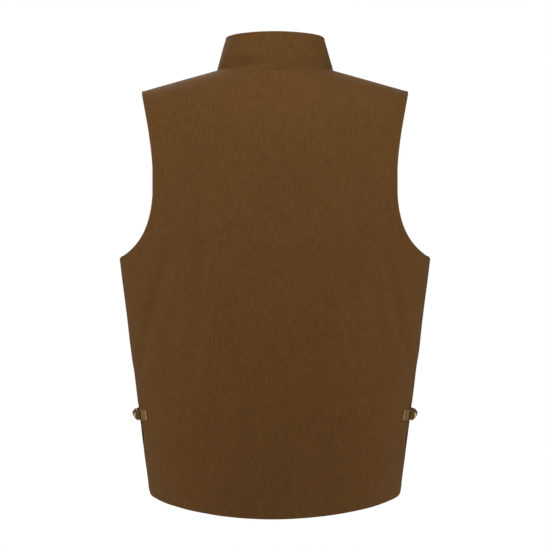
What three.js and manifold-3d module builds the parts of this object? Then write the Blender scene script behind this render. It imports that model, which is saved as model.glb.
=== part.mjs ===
// A sleeveless fishing vest with a stand collar, a full zip, four flapped front pockets and a strap
// adjuster at each side. Millimetres, +Z up, the front faces -Y and the wearer's left is +X.
// The origin is the middle of the wearer's neck base, level with the shoulder seams at the neck.

import * as THREE from "three";
import { mergeVertices } from "three/addons/utils/BufferGeometryUtils.js";
import Module from "manifold-3d";

const wasm = await Module();
wasm.setup();

// ---------------------------------------------------------------- driving dimensions

// Overall sizes of the worn vest, measured on the outside of the shell cloth.
const CHEST_HALF_WIDTH = 243.9;
const HEM_HALF_WIDTH = 196.6;
const BACK_LENGTH = 687;
const SIDE_LENGTH = 664;
const FRONT_LENGTH = 668;
const BACK_DEPTH = 110;
const HEM_BACK_DEPTH = 115;
const FRONT_HEM_DEPTH = 129;
const FRONT_COLLAR_DEPTH = 84;

// Shoulders and armholes.
const SHOULDER_HALF_WIDTH = 208.3;
const SHOULDER_DROP = 33;
const NECK_HALF_WIDTH = 89.9;
const NECK_BACK_DEPTH = 76;
const NECK_FRONT_DROP = 57;
const ARMHOLE_HALF_GAP = 186.8;
const ARMHOLE_NARROW_Z = -176;
const UNDERARM_Z = -293.5;
const SHOULDER_BEND_Z = -200;
const ARMHOLE_TIP_LEAN = [7.3, 29];
const ARMHOLE_NARROW_RUN = [56, 46];
const UNDERARM_LEAN = [7.2, 23.5];

// Hem: a rounded corner at the side, then one easy curve down to the middle.
const HEM_CORNER = 9;
const HEM_CORNER_WIDTH = 7;
const HEM_SIDE_RUN = 47;
const HEM_SIDE_FALL = 11;
const HEM_MIDDLE_RUN = 80;

// Stand collar.
const COLLAR_HEIGHT = 52.5;
const COLLAR_TOP_HALF_WIDTH = 76.7;
const COLLAR_TOP_BACK_DEPTH = 75;
const COLLAR_FRONT_TOP = 10;
const COLLAR_BACK_LEAN = 1.1;
const COLLAR_SEAM_EASE = 0.4;
const COLLAR_SEAM_LIFT = 0.05;
const COLLAR_FACING_DROP = 1.5;

// Cloth layers, as heights above the wearer's side of the lining.
const GAP = 0.3;
const LINING_THICKNESS = 1.1;
const SHELL_INSIDE = 1.7;
const SHELL_THICKNESS = 2.2;
const SHELL_OUTSIDE = SHELL_INSIDE + SHELL_THICKNESS;
const HEM_FACING = 14;
const ARMHOLE_FACING = 16;

// Front zip: two moulded-tooth chains on tapes.
const ZIP_HALF_OPENING = 9;
const ZIP_FLAT_HALF_WIDTH = 20;
const TAPE_THICKNESS = 0.9;
const TAPE_OUTER_EDGE = 16.5;
const TOOTH_PITCH = 7;
const TOOTH_REACH = 2;
const TOOTH_DEPTH = 3;
const CHAIN_SPINE_INNER = 2.4;
const CHAIN_SPINE_OUTER = 4.6;
const ZIP_BOX_HEIGHT = 14;
const ZIP_BOX_HALF_DEPTH = 2.2;
const ZIP_PIN_HALF_DEPTH = 1.4;
const ZIP_PIN_FOOT = 1.5;
const FIRST_TOOTH = 1.5;
const TOOTH_TIP_SLOPE = 0.5;
const TAPE_BOTTOM = 2;
const TAPE_TOP_DROP = 3;
const CHAIN_TOP_DROP = 6;
const SLIDER_LENGTH = 20;
const SLIDER_HALF_WIDTH = 7.6;
const SLIDER_WALL = 1.7;
const SLIDER_TOP_DROP = 2;
const PULL_LENGTH = 34;
const PULL_WIDTH = 9;
const PULL_THICKNESS = 1.6;
const PULL_CORNER = 3;
const PULL_BAR = 0.9;
const PULL_WINDOW = 7;

// Patch pockets, one of each on both fronts. Depths are the hollow under the pocket's front wall.
const POCKET_WALL = 2;
const CHEST_POCKET = {
  name: "chest_pocket",
  inner: 62,
  outer: 158,
  mouth: -224,
  bottom: -336,
  corner: 12,
  mouthDepth: 11.5,
  midDepth: 12.5,
  bottomDepth: 8,
  flapLength: 48,
};
const LOWER_POCKET = {
  name: "lower_pocket",
  inner: 44,
  outer: 162,
  mouth: -430,
  bottom: -612,
  corner: 16,
  mouthDepth: 14,
  midDepth: 22,
  bottomDepth: 18,
  flapLength: 60,
};
const FLAP_THICKNESS = 2;
const FLAP_RISE = 16;
const FLAP_OVERHANG = 3;
const FLAP_POCKET_GAP = 2.1;
const FLAP_CORNER = 10;
const SNAP_ABOVE_FLAP_EDGE = 13;
const SNAP_RADIUS = 6;
const SNAP_CAP_THICKNESS = 1.6;
const SNAP_STUD_RADIUS = 4.5;
const SNAP_STUD_THICKNESS = 1.4;

// Side adjusters: a webbing tab on the back, a two-slot buckle and a strap from the front.
const ADJUSTER_Z = -537.5;
const WEBBING_WIDTH = 16;
const WEBBING_THICKNESS = 1.3;
const BUCKLE_SLOT_CLEARANCE = 0.5;
const BUCKLE_RAIL = 1.75;
const BUCKLE_HEIGHT = WEBBING_WIDTH + 2 * (BUCKLE_SLOT_CLEARANCE + BUCKLE_RAIL);
const BUCKLE_LENGTH = 22;
const BUCKLE_CORNER = 2.5;
const BUCKLE_THICKNESS = 2.4;
const BUCKLE_BAR = 3.2;
const BUCKLE_BACK_STANDOFF = 8.2;
const BUCKLE_FRONT_STANDOFF = 12;
const STRAP_EASE = 0.4;
const VENT_TOP_Z = -546;
const VENT_BOTTOM_Z = -592;
const VENT_DEPTH = 6.4;

// Chest ring for a tool.
const RING_X = 118;
const RING_Z = -146;
const RING_CLEARANCE = 1;
const RING_INNER_WIDTH = WEBBING_WIDTH + 2 * RING_CLEARANCE;
const RING_STRAIGHT = 7;
const RING_RUNNING_GAP = 0.2;
const RING_BAR = 3;
const RING_THICKNESS = 2.6;
const RING_TAB_LENGTH = 26;
const RING_TAB_BEND = 5;

// Hanging loop inside the collar.
const LOOP_HALF_WIDTH = 30;
const LOOP_HEIGHT = 8;
const LOOP_BOW = 9;
const LOOP_Z = 10;
const LOOP_STEPS = 6;

// Steps of the curved surfaces.
const COLUMN_STEPS = 10;
const SHOULDER_ROWS = 7;
const FORM_BELOW_HEM = 33;
const FORM_FLOOR = -Math.max(BACK_LENGTH, SIDE_LENGTH, FRONT_LENGTH) - FORM_BELOW_HEM;
const LOW_ROWS = [FORM_FLOOR, -600, -500, -400, UNDERARM_Z, -262, -231];

// ---------------------------------------------------------------- solids

function solidOf(geometry) {
  const bare = geometry.index ? geometry.toNonIndexed() : geometry.clone();
  bare.deleteAttribute("normal");
  bare.deleteAttribute("uv");
  const merged = mergeVertices(bare, 1e-4);
  const triangles = [];
  const index = merged.index.array;
  for (let i = 0; i < index.length; i += 3) {
    const [a, b, c] = [index[i], index[i + 1], index[i + 2]];
    if (a !== b && b !== c && c !== a) triangles.push(a, b, c);
  }
  const mesh = new wasm.Mesh({
    numProp: 3,
    vertProperties: new Float32Array(merged.attributes.position.array),
    triVerts: new Uint32Array(triangles),
  });
  return new wasm.Manifold(mesh);
}

function geometryOf(solid) {
  const mesh = solid.getMesh();
  const geometry = new THREE.BufferGeometry();
  geometry.setAttribute("position", new THREE.BufferAttribute(new Float32Array(mesh.vertProperties), 3));
  geometry.setIndex(new THREE.BufferAttribute(new Uint32Array(mesh.triVerts), 1));
  geometry.computeVertexNormals();
  return geometry;
}

// A closed outline in the XZ plane, swept along Y from y0 to y1.
function sweptAlongY(points, y0, y1) {
  const shape = new THREE.Shape(points.map(([x, z]) => new THREE.Vector2(x, -z)));
  const geometry = new THREE.ExtrudeGeometry(shape, { depth: y1 - y0, bevelEnabled: false });
  geometry.rotateX(-Math.PI / 2);
  geometry.translate(0, y0, 0);
  return geometry;
}

// A closed outline in the XY plane, swept along Z from z0 to z1.
function sweptAlongZ(shape, z0, z1) {
  const geometry = new THREE.ExtrudeGeometry(shape, { depth: z1 - z0, bevelEnabled: false });
  geometry.translate(0, 0, z0);
  return geometry;
}

// A closed outline swept along X: its first number is Z and its second the distance out in front.
function sweptAlongX(shape, x0, x1, curveSegments = 6) {
  const geometry = new THREE.ExtrudeGeometry(shape, { depth: x1 - x0, bevelEnabled: false, curveSegments });
  const up = new THREE.Vector3(0, 0, 1);
  const out = new THREE.Vector3(0, -1, 0);
  const along = new THREE.Vector3(1, 0, 0);
  geometry.applyMatrix4(new THREE.Matrix4().makeBasis(up, out, along));
  geometry.translate(x0, 0, 0);
  return geometry;
}

function box(x0, x1, y0, y1, z0, z1) {
  const geometry = new THREE.BoxGeometry(x1 - x0, y1 - y0, z1 - z0);
  geometry.translate((x0 + x1) / 2, (y0 + y1) / 2, (z0 + z1) / 2);
  return geometry;
}

// A band of even thickness along an open plan path, as a shape.
function bandShape(path, thickness) {
  const sides = [1, -1].map((side) =>
    path.map((point, i) => {
      const before = path[Math.max(0, i - 1)];
      const after = path[Math.min(path.length - 1, i + 1)];
      const along = new THREE.Vector2().subVectors(after, before).normalize();
      return new THREE.Vector2(
        point.x - (side * along.y * thickness) / 2,
        point.y + (side * along.x * thickness) / 2,
      );
    }),
  );
  return new THREE.Shape([...sides[0], ...sides[1].reverse()]);
}

function bezierPoints(start, control1, control2, end, steps) {
  const curve = new THREE.CubicBezierCurve(
    new THREE.Vector2(...start),
    new THREE.Vector2(...control1),
    new THREE.Vector2(...control2),
    new THREE.Vector2(...end),
  );
  return curve.getPoints(steps).map((point) => [point.x, point.y]);
}

const mirrored = (points) => points.map(([x, z]) => [-x, z]).reverse();

// ---------------------------------------------------------------- the body form

// The form is the wearer's side of the lining. Everything sewn lies at a height above it.
const BODY_HALF_WIDTH = CHEST_HALF_WIDTH - SHELL_OUTSIDE;
const SIDE_TAPER = (CHEST_HALF_WIDTH - HEM_HALF_WIDTH) / (SIDE_LENGTH + UNDERARM_Z);
const UNDERARM_EASE = 60;

function bodyHalfWidth(z) {
  const rise = Math.min(z, SHOULDER_BEND_Z) - UNDERARM_Z;
  if (rise <= 0) return BODY_HALF_WIDTH + SIDE_TAPER * rise;
  return BODY_HALF_WIDTH + SIDE_TAPER * UNDERARM_EASE * (1 - Math.exp(-rise / UNDERARM_EASE));
}

const SHOULDER_SLOPE = SHOULDER_DROP / (SHOULDER_HALF_WIDTH - NECK_HALF_WIDTH);

function shoulderZ(x) {
  const across = Math.max(ZIP_FLAT_HALF_WIDTH, Math.abs(x));
  return -SHOULDER_SLOPE * (across - NECK_HALF_WIDTH) - SHELL_OUTSIDE;
}

const ZIP_TILT = Math.atan(
  (FRONT_HEM_DEPTH - FRONT_COLLAR_DEPTH) / (FRONT_LENGTH + COLLAR_FRONT_TOP),
);

// Depth of the straight front edge and of the centre back, at the form.
function frontLine(z) {
  return FRONT_COLLAR_DEPTH - SHELL_OUTSIDE + (COLLAR_FRONT_TOP - z) * Math.tan(ZIP_TILT);
}

function backLine(z) {
  const share = Math.min(1, (SHOULDER_BEND_Z - z) / (SHOULDER_BEND_Z + BACK_LENGTH));
  return BACK_DEPTH - SHELL_OUTSIDE + Math.max(0, share) * (HEM_BACK_DEPTH - BACK_DEPTH);
}

// How far the shoulder has closed at a height: 1 below the bend and 0 at the shoulder seam.
const BEND_POWER = 5;
const CLOSE_POWER = 2.2;

function shoulderShare(x, z) {
  const rise = (z - SHOULDER_BEND_Z) / (shoulderZ(x) - SHOULDER_BEND_Z);
  return rise <= 0 ? 1 : (1 - Math.min(1, rise) ** BEND_POWER) ** (1 / CLOSE_POWER);
}

const roundShare = (x, half, flat) => {
  const across = Math.max(0, Math.abs(x) - flat) / (half - flat);
  return Math.sqrt(Math.max(0, 1 - Math.min(1, across) ** 2));
};

// Half-width columns: the centre, the flat beside the zip, then even turns out to the side seam.
function columnX(column, half) {
  if (column === 0) return 0;
  const turn = ((column - 1) / COLUMN_STEPS) * (Math.PI / 2);
  return ZIP_FLAT_HALF_WIDTH + (half - ZIP_FLAT_HALF_WIDTH) * Math.sin(turn);
}

const COLUMNS = COLUMN_STEPS + 1;

// The closed body form, raised by a height that may change down the body.
function formSolid(raise, extraRows = []) {
  const height = typeof raise === "function" ? raise : () => raise;
  const rows = [...LOW_ROWS, ...extraRows].sort((a, b) => a - b).map((z) => ({ z }));
  for (let k = 0; k <= SHOULDER_ROWS; k += 1) {
    rows.push({ close: Math.cos((k / SHOULDER_ROWS) * (Math.PI / 2)) });
  }
  rows[rows.length - 1].close = 0;
  const around = 4 * COLUMNS;
  const positions = [];
  for (const row of rows) {
    for (let i = 0; i < around; i += 1) {
      const turn = i < 2 * COLUMNS ? i - COLUMNS : 3 * COLUMNS - i;
      const side = i < 2 * COLUMNS ? 1 : -1;
      positions.push(...formVertex(row, turn, side, height));
    }
  }
  const index = [];
  for (let r = 0; r + 1 < rows.length; r += 1) {
    for (let i = 0; i < around; i += 1) {
      const a = r * around + i;
      const b = r * around + ((i + 1) % around);
      index.push(a, a + around, b, b, a + around, b + around);
    }
  }
  for (let i = 1; i + 1 < around; i += 1) index.push(0, i, i + 1);
  const geometry = new THREE.BufferGeometry();
  geometry.setAttribute("position", new THREE.BufferAttribute(new Float32Array(positions), 3));
  geometry.setIndex(index);
  return solidOf(geometry);
}

// One vertex of the form: column -COLUMNS to COLUMNS across, on the back (side 1) or front (-1).
function formVertex(row, column, side, height) {
  const low = row.z !== undefined;
  const half = bodyHalfWidth(low ? row.z : SHOULDER_BEND_Z);
  const base = columnX(Math.abs(column), half);
  const share = low ? 1 : row.close;
  const rise = low ? 0 : (1 - share ** CLOSE_POWER) ** (1 / BEND_POWER);
  const z = low ? row.z : SHOULDER_BEND_Z + (shoulderZ(base) - SHOULDER_BEND_Z) * rise;
  const raise = height(z);
  const wide = half + raise;
  const x = base <= ZIP_FLAT_HALF_WIDTH ? base : base * (1 + raise / half);
  const top = z + raise * rise;
  const depth = side > 0 ? backLine(z) : frontDepth(z);
  const round = roundShare(base, half, side > 0 ? 0 : ZIP_FLAT_HALF_WIDTH);
  const y = (depth + raise) * round * share;
  const atSide = Math.abs(column) === COLUMNS || share === 0;
  return [Math.sign(column) * Math.min(x, wide), atSide ? 0 : side * y, top];
}

// The front's own depth is worked back from the straight zip line, so that the zip stays straight
// although the shoulder closes over it.
function frontDepth(z) {
  return frontLine(z) / shoulderShare(0, Math.min(z, -NECK_FRONT_DROP / 2));
}

// Height of the front or back surface along Y, on the same facets as the solid.
function surfaceY(x, z, raise, side) {
  const half = bodyHalfWidth(z);
  const at = (column) => formVertex({ z }, column, side, () => raise);
  let column = 0;
  while (column < COLUMNS - 1 && at(column + 1)[0] < Math.abs(x)) column += 1;
  const [x0, y0] = at(column);
  const [x1, y1] = at(column + 1);
  const share = (Math.min(Math.abs(x), half + raise) - x0) / (x1 - x0);
  return y0 + (y1 - y0) * share;
}

// Direction that the front faces at a place, turned about Z.
function frontTurn(x, z, raise) {
  const reach = 4;
  const drop = surfaceY(x + reach, z, raise, -1) - surfaceY(x - reach, z, raise, -1);
  return Math.atan2(drop, 2 * reach);
}

function layer(inside, outside, extraRows = []) {
  return formSolid(outside, extraRows).subtract(formSolid(inside, extraRows));
}

// ---------------------------------------------------------------- outlines

// How far a cutting outline runs past the cloth that it cuts, at the side, at the top and in depth.
const PAST_SIDE = 4;
const PAST_TOP = 30;
const FAR = 400;

const sideX = (z) => bodyHalfWidth(z) + SHELL_OUTSIDE + PAST_SIDE;
const ARMHOLE_STEPS = 9;
const HEM_STEPS = 6;

// The armhole edge from the shoulder tip to the underarm, moved into the cloth by inset.
function armholeEdge(inset) {
  const tip = [SHOULDER_HALF_WIDTH - inset, -SHOULDER_DROP];
  const narrow = [ARMHOLE_HALF_GAP - inset, ARMHOLE_NARROW_Z];
  const upper = bezierPoints(
    tip,
    [tip[0] - ARMHOLE_TIP_LEAN[0], tip[1] - ARMHOLE_TIP_LEAN[1]],
    [narrow[0], narrow[1] + ARMHOLE_NARROW_RUN[0]],
    narrow,
    ARMHOLE_STEPS,
  );
  const under = [CHEST_HALF_WIDTH + SHELL_OUTSIDE, UNDERARM_Z - inset];
  const lower = bezierPoints(
    narrow,
    [narrow[0], narrow[1] - ARMHOLE_NARROW_RUN[1] - inset / 2],
    [narrow[0] + UNDERARM_LEAN[0], UNDERARM_Z + UNDERARM_LEAN[1] - inset],
    [CHEST_HALF_WIDTH - 0.5, UNDERARM_Z - inset],
    ARMHOLE_STEPS,
  );
  return [[tip[0], PAST_TOP], ...upper, ...lower.slice(1), under];
}

// Half of the hem from the side seam to the middle, raised by inset.
function hemEdge(length, inset, edgeX) {
  const side = sideX(-SIDE_LENGTH);
  const cloth = HEM_HALF_WIDTH;
  const corner = -SIDE_LENGTH + inset;
  const middle = -length + inset;
  const curve = bezierPoints(
    [cloth - HEM_CORNER_WIDTH, corner],
    [cloth - HEM_SIDE_RUN, corner - HEM_SIDE_FALL],
    [HEM_MIDDLE_RUN, middle],
    [edgeX, middle],
    HEM_STEPS,
  );
  return [
    [side, corner + HEM_CORNER + 3],
    [cloth, corner + HEM_CORNER],
    [cloth - 2, corner + HEM_CORNER / 3],
    ...curve,
  ];
}

// Plan half-ellipse of the neck, with a flat stretch at the zip on the front side.
const NECK_STEPS = 12;

function neckPlan(turn, half, depth, flat) {
  return [flat + (half - flat) * Math.sin(turn), depth * Math.cos(turn)];
}

// Height at which the cloth of a side passes through the neck's plan curve.
function neckEdge(side) {
  const flat = side > 0 ? 0 : ZIP_FLAT_HALF_WIDTH;
  const middle = (SHELL_INSIDE + SHELL_OUTSIDE) / 2;
  const points = [];
  for (let k = 0; k <= NECK_STEPS; k += 1) {
    const turn = (k / NECK_STEPS) * (Math.PI / 2);
    const front = frontLine(-NECK_FRONT_DROP) + middle;
    const depth = side > 0 ? NECK_BACK_DEPTH : front;
    const [x, y] = neckPlan(turn, NECK_HALF_WIDTH, depth, flat);
    points.push([x, neckZ(x, y, side, middle)]);
  }
  return points;
}

function neckZ(x, y, side, raise) {
  const flat = side > 0 ? 0 : ZIP_FLAT_HALF_WIDTH;
  let z = side > 0 ? 0 : -NECK_FRONT_DROP;
  for (let pass = 0; pass < 12; pass += 1) {
    const depth = (side > 0 ? backLine(z) : frontDepth(z)) + raise;
    const close = Math.min(1, y / (depth * roundShare(x, bodyHalfWidth(z), flat)));
    const rise = (1 - close ** CLOSE_POWER) ** (1 / BEND_POWER);
    z = SHOULDER_BEND_Z + (shoulderZ(x) + raise - SHOULDER_BEND_Z) * rise;
    if (side < 0) z = Math.max(z, -NECK_FRONT_DROP);
  }
  return z;
}

function backOutline(inset, hemInset) {
  const half = [
    ...neckEdge(1),
    [NECK_HALF_WIDTH, PAST_TOP],
    ...armholeEdge(inset),
    ...hemEdge(BACK_LENGTH, hemInset, 0),
  ];
  return [...half, ...mirrored(half).slice(1, -1)];
}

function frontOutline(edgeX, inset, hemInset) {
  const neck = neckEdge(-1);
  return [
    [edgeX, neck[0][1]],
    ...neck,
    [NECK_HALF_WIDTH, PAST_TOP],
    ...armholeEdge(inset),
    ...hemEdge(FRONT_LENGTH, hemInset, edgeX),
  ];
}

// ---------------------------------------------------------------- materials and placing

const CLOTH = { color: 0x5d4123, roughness: 0.92, metalness: 0 };
const LINING = { color: 0x4a3520, roughness: 0.95, metalness: 0 };
const TAPE = { color: 0x3a2a17, roughness: 0.9, metalness: 0 };
const TEETH = { color: 0x4b3a22, roughness: 0.55, metalness: 0.1 };
const WEBBING = { color: 0x8f7650, roughness: 0.85, metalness: 0 };
const DARK_WEBBING = { color: 0x2d1e10, roughness: 0.88, metalness: 0 };
const BRASS = { color: 0x9a7440, roughness: 0.38, metalness: 1 };

const vest = new THREE.Group();

function addMesh(parent, name, geometry, look) {
  const mesh = new THREE.Mesh(geometry, new THREE.MeshStandardMaterial(look));
  mesh.name = name;
  parent.add(mesh);
  return mesh;
}

const SIDES = [
  { word: "left", sign: 1 },
  { word: "right", sign: -1 },
];

const forSide = (points, sign) => (sign > 0 ? points : mirrored(points));

// ---------------------------------------------------------------- cloth panels

const SEAM_HALF = GAP / 2;

function addPanels() {
  const shell = layer(SHELL_INSIDE, SHELL_OUTSIDE);
  const lining = layer(0, LINING_THICKNESS);
  const back = solidOf(sweptAlongY(backOutline(0, 0), SEAM_HALF, FAR));
  let backPanel = shell.intersect(back);
  for (const { word, sign } of SIDES) {
    const notch = forSide(ventOutline(0), sign);
    backPanel = backPanel.subtract(solidOf(sweptAlongY(notch, -FAR, FAR)));
    const facing = solidOf(sweptAlongY(forSide(ventOutline(GAP), sign), SEAM_HALF, FAR));
    addMesh(vest, `${word}_side_vent_facing`, geometryOf(shell.intersect(facing)), CLOTH);
  }
  addMesh(vest, "back_panel", geometryOf(backPanel), CLOTH);
  const liningInset = ARMHOLE_FACING + GAP;
  const backLining = lining.intersect(
    solidOf(sweptAlongY(backOutline(liningInset, HEM_FACING), SEAM_HALF, FAR)),
  );
  addMesh(vest, "back_lining", geometryOf(backLining), LINING);
  for (const { word, sign } of SIDES) {
    const cut = forSide(frontOutline(ZIP_HALF_OPENING, 0, 0), sign);
    const panel = shell.intersect(solidOf(sweptAlongY(cut, -FAR, -SEAM_HALF)));
    addMesh(vest, `${word}_front_panel`, geometryOf(panel), CLOTH);
    const inner = forSide(frontOutline(TAPE_OUTER_EDGE + GAP, liningInset, HEM_FACING), sign);
    const frontLining = lining.intersect(solidOf(sweptAlongY(inner, -FAR, -SEAM_HALF)));
    addMesh(vest, `${word}_front_lining`, geometryOf(frontLining), LINING);
    const ring = [...armholeEdge(0), ...armholeEdge(ARMHOLE_FACING).reverse()];
    const facing = lining.intersect(solidOf(sweptAlongY(forSide(ring, sign), -FAR, FAR)));
    addMesh(vest, `${word}_armhole_facing`, geometryOf(facing), CLOTH);
  }
}

// The lens-shaped side opening that the adjuster pulls open, below each buckle.
function ventOutline(inset) {
  const height = VENT_TOP_Z - VENT_BOTTOM_Z;
  const clothAt = (share) => sideX(VENT_TOP_Z - share * height) - PAST_SIDE;
  const depthAt = (share) => clothAt(share) - VENT_DEPTH + inset;
  return [
    [sideX(VENT_TOP_Z) + PAST_SIDE, VENT_TOP_Z - inset],
    [depthAt(0.1) + VENT_DEPTH / 2, VENT_TOP_Z - inset],
    [depthAt(0.25), VENT_TOP_Z - 0.25 * height],
    [depthAt(0.6), VENT_TOP_Z - 0.6 * height],
    [depthAt(0.9) + VENT_DEPTH / 2, VENT_BOTTOM_Z + inset],
    [sideX(VENT_BOTTOM_Z) + PAST_SIDE, VENT_BOTTOM_Z + inset],
  ];
}

// ---------------------------------------------------------------- collar

const COLLAR_BASE_HALF_WIDTH = NECK_HALF_WIDTH - COLLAR_SEAM_EASE;
const COLLAR_BASE_BACK_DEPTH = NECK_BACK_DEPTH + COLLAR_BACK_LEAN;

// One point of the collar at a turn from the front middle (0) to the back middle (180 degrees).
function collarPoint(turn, up, inward) {
  const front = Math.cos(turn) > 0;
  const flat = front ? ZIP_FLAT_HALF_WIDTH : 0;
  const facing = Math.abs(Math.cos(turn));
  const round = Math.sin(turn);
  const frontTop = COLLAR_HEIGHT - (COLLAR_HEIGHT - COLLAR_FRONT_TOP) * facing ** 2;
  const topZ = front ? frontTop : COLLAR_HEIGHT;
  const middle = (SHELL_INSIDE + SHELL_OUTSIDE) / 2;
  const frontBase = frontLine(-NECK_FRONT_DROP) + middle;
  const neckDepth = front ? frontBase : NECK_BACK_DEPTH;
  const [baseX, baseY] = neckPlan(Math.asin(round), NECK_HALF_WIDTH, neckDepth, flat);
  const baseZ = neckZ(baseX, baseY, front ? -1 : 1, middle) + GAP + COLLAR_SEAM_LIFT;
  const baseDepth = (front ? frontLine(baseZ) + SHELL_OUTSIDE : COLLAR_BASE_BACK_DEPTH) - inward;
  const topDepth = (front ? frontLine(topZ) + SHELL_OUTSIDE : COLLAR_TOP_BACK_DEPTH) - inward;
  const half = (a, b) => flat + (a + (b - a) * up - inward - flat) * round;
  const x = half(COLLAR_BASE_HALF_WIDTH, COLLAR_TOP_HALF_WIDTH);
  const y = (baseDepth + (topDepth - baseDepth) * up) * facing;
  return [x, front ? -y : y, baseZ + (topZ - baseZ) * up];
}

// A collar layer, open at the front middle, as a closed band between two inward depths.
function collarLayer(outside, inside, edgeX, topDrop) {
  const turns = [];
  for (let k = 1; k <= NECK_STEPS; k += 1) turns.push((k / NECK_STEPS) * (Math.PI / 2));
  for (let k = 1; k < NECK_STEPS; k += 1) turns.push(Math.PI / 2 + (k / NECK_STEPS) * (Math.PI / 2));
  const rings = [];
  const topShare = 1 - topDrop / COLLAR_HEIGHT;
  const ring = (left, turn) => {
    const mark = left ? 1 : -1;
    const corner = (up, inward) => {
      const [x, y, z] = collarPoint(turn, up, inward);
      return [mark * x, y, z];
    };
    return [corner(0, outside), corner(topShare, outside), corner(topShare, inside), corner(0, inside)];
  };
  const edge = (mark) => {
    const [low, high, highIn, lowIn] = ring(mark > 0, 0);
    return [low, high, highIn, lowIn].map(([, y, z]) => [mark * edgeX, y, z]);
  };
  rings.push(edge(1), ring(true, 0));
  for (const turn of turns) rings.push(ring(true, turn));
  rings.push(ring(true, Math.PI));
  for (const turn of [...turns].reverse()) rings.push(ring(false, turn));
  rings.push(ring(false, 0), edge(-1));
  return bandSolid(rings);
}

// A closed solid through a row of four-cornered rings.
function bandSolid(rings) {
  const positions = rings.flat(2);
  const index = [];
  for (let r = 0; r + 1 < rings.length; r += 1) {
    for (let i = 0; i < 4; i += 1) {
      const a = 4 * r + i;
      const b = 4 * r + ((i + 1) % 4);
      index.push(a, a + 4, b, b, a + 4, b + 4);
    }
  }
  const last = 4 * (rings.length - 1);
  index.push(0, 1, 2, 0, 2, 3);
  index.push(last, last + 2, last + 1, last, last + 3, last + 2);
  const geometry = new THREE.BufferGeometry();
  geometry.setAttribute("position", new THREE.BufferAttribute(new Float32Array(positions), 3));
  geometry.setIndex(index);
  return geometry;
}

function addCollar() {
  addMesh(vest, "collar_outer", collarLayer(0, SHELL_THICKNESS, ZIP_HALF_OPENING, 0), CLOTH);
  const liningFace = SHELL_OUTSIDE - LINING_THICKNESS;
  const edge = TAPE_OUTER_EDGE + GAP;
  const facing = collarLayer(liningFace, SHELL_OUTSIDE, edge, COLLAR_FACING_DROP);
  addMesh(vest, "collar_facing", facing, LINING);
  const wall = COLLAR_BASE_BACK_DEPTH - SHELL_OUTSIDE - 2 * GAP - WEBBING_THICKNESS / 2;
  const path = [];
  for (let k = -LOOP_STEPS; k <= LOOP_STEPS; k += 1) {
    const share = k / LOOP_STEPS;
    const x = share * LOOP_HALF_WIDTH;
    const onWall = (wall - 1) * Math.sqrt(1 - (x / (NECK_HALF_WIDTH - 6)) ** 2);
    path.push(new THREE.Vector2(x, onWall - LOOP_BOW * Math.cos((share * Math.PI) / 2) ** 1.5));
  }
  const band = bandShape(path, WEBBING_THICKNESS);
  addMesh(vest, "hanger_loop", sweptAlongZ(band, LOOP_Z, LOOP_Z + LOOP_HEIGHT), DARK_WEBBING);
}

// ---------------------------------------------------------------- front zip

// The zip's own frame: the origin at the bottom of the front edge, Z up along the tilted edge.
const zip = new THREE.Group();
const TAPE_MIDDLE = SHELL_INSIDE - GAP - TAPE_THICKNESS / 2;
const ZIP_LENGTH = (FRONT_LENGTH + COLLAR_FRONT_TOP) / Math.cos(ZIP_TILT);

// A chain's comb outline: a straight spine with a tooth on every pitch.
function chainShape(sign, bottom, top, firstTooth) {
  const toothHeight = TOOTH_PITCH / 2 - GAP;
  const inner = CHAIN_SPINE_INNER;
  const points = [[CHAIN_SPINE_OUTER, bottom], [CHAIN_SPINE_OUTER, top], [inner, top]];
  const teeth = [];
  for (let z = firstTooth; z + toothHeight < top - 1; z += TOOTH_PITCH) teeth.push(z);
  for (const z of teeth.reverse()) {
    points.push([inner, z + toothHeight], [-TOOTH_REACH, z + toothHeight - TOOTH_TIP_SLOPE]);
    points.push([-TOOTH_REACH, z + TOOTH_TIP_SLOPE], [inner, z]);
  }
  points.push([inner, bottom]);
  return points.map(([x, z]) => [sign * x, z]);
}

function addZip() {
  zip.position.set(0, -frontLine(-FRONT_LENGTH) - TAPE_MIDDLE, -FRONT_LENGTH);
  zip.rotation.x = -ZIP_TILT;
  vest.add(zip);
  const chainTop = ZIP_LENGTH - CHAIN_TOP_DROP;
  const chainBottom = ZIP_BOX_HEIGHT + GAP;
  for (const { word, sign } of SIDES) {
    const x = [sign * (CHAIN_SPINE_OUTER + GAP), sign * TAPE_OUTER_EDGE].sort((a, b) => a - b);
    const half = TAPE_THICKNESS / 2;
    const tape = box(...x, -half, half, TAPE_BOTTOM, ZIP_LENGTH - TAPE_TOP_DROP);
    addMesh(zip, `${word}_zip_tape`, tape, TAPE);
    const first = chainBottom + FIRST_TOOTH + (sign > 0 ? 0 : TOOTH_PITCH / 2);
    const comb = chainShape(sign, chainBottom, chainTop, first);
    const teeth = sweptAlongY(comb, -TOOTH_DEPTH / 2, TOOTH_DEPTH / 2);
    addMesh(zip, `${word}_zip_chain`, teeth, TEETH);
  }
  const [deep, thin] = [ZIP_BOX_HALF_DEPTH, ZIP_PIN_HALF_DEPTH];
  const boxRight = CHAIN_SPINE_INNER - GAP;
  const zipBox = box(-CHAIN_SPINE_OUTER, boxRight, -deep, deep, 0, ZIP_BOX_HEIGHT);
  addMesh(zip, "zip_box", zipBox, BRASS);
  const foot = ZIP_PIN_FOOT;
  const pin = box(CHAIN_SPINE_INNER, CHAIN_SPINE_OUTER, -thin, thin, foot, ZIP_BOX_HEIGHT);
  addMesh(zip, "zip_pin", pin, BRASS);
  addSlider(chainTop);
}

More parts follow.
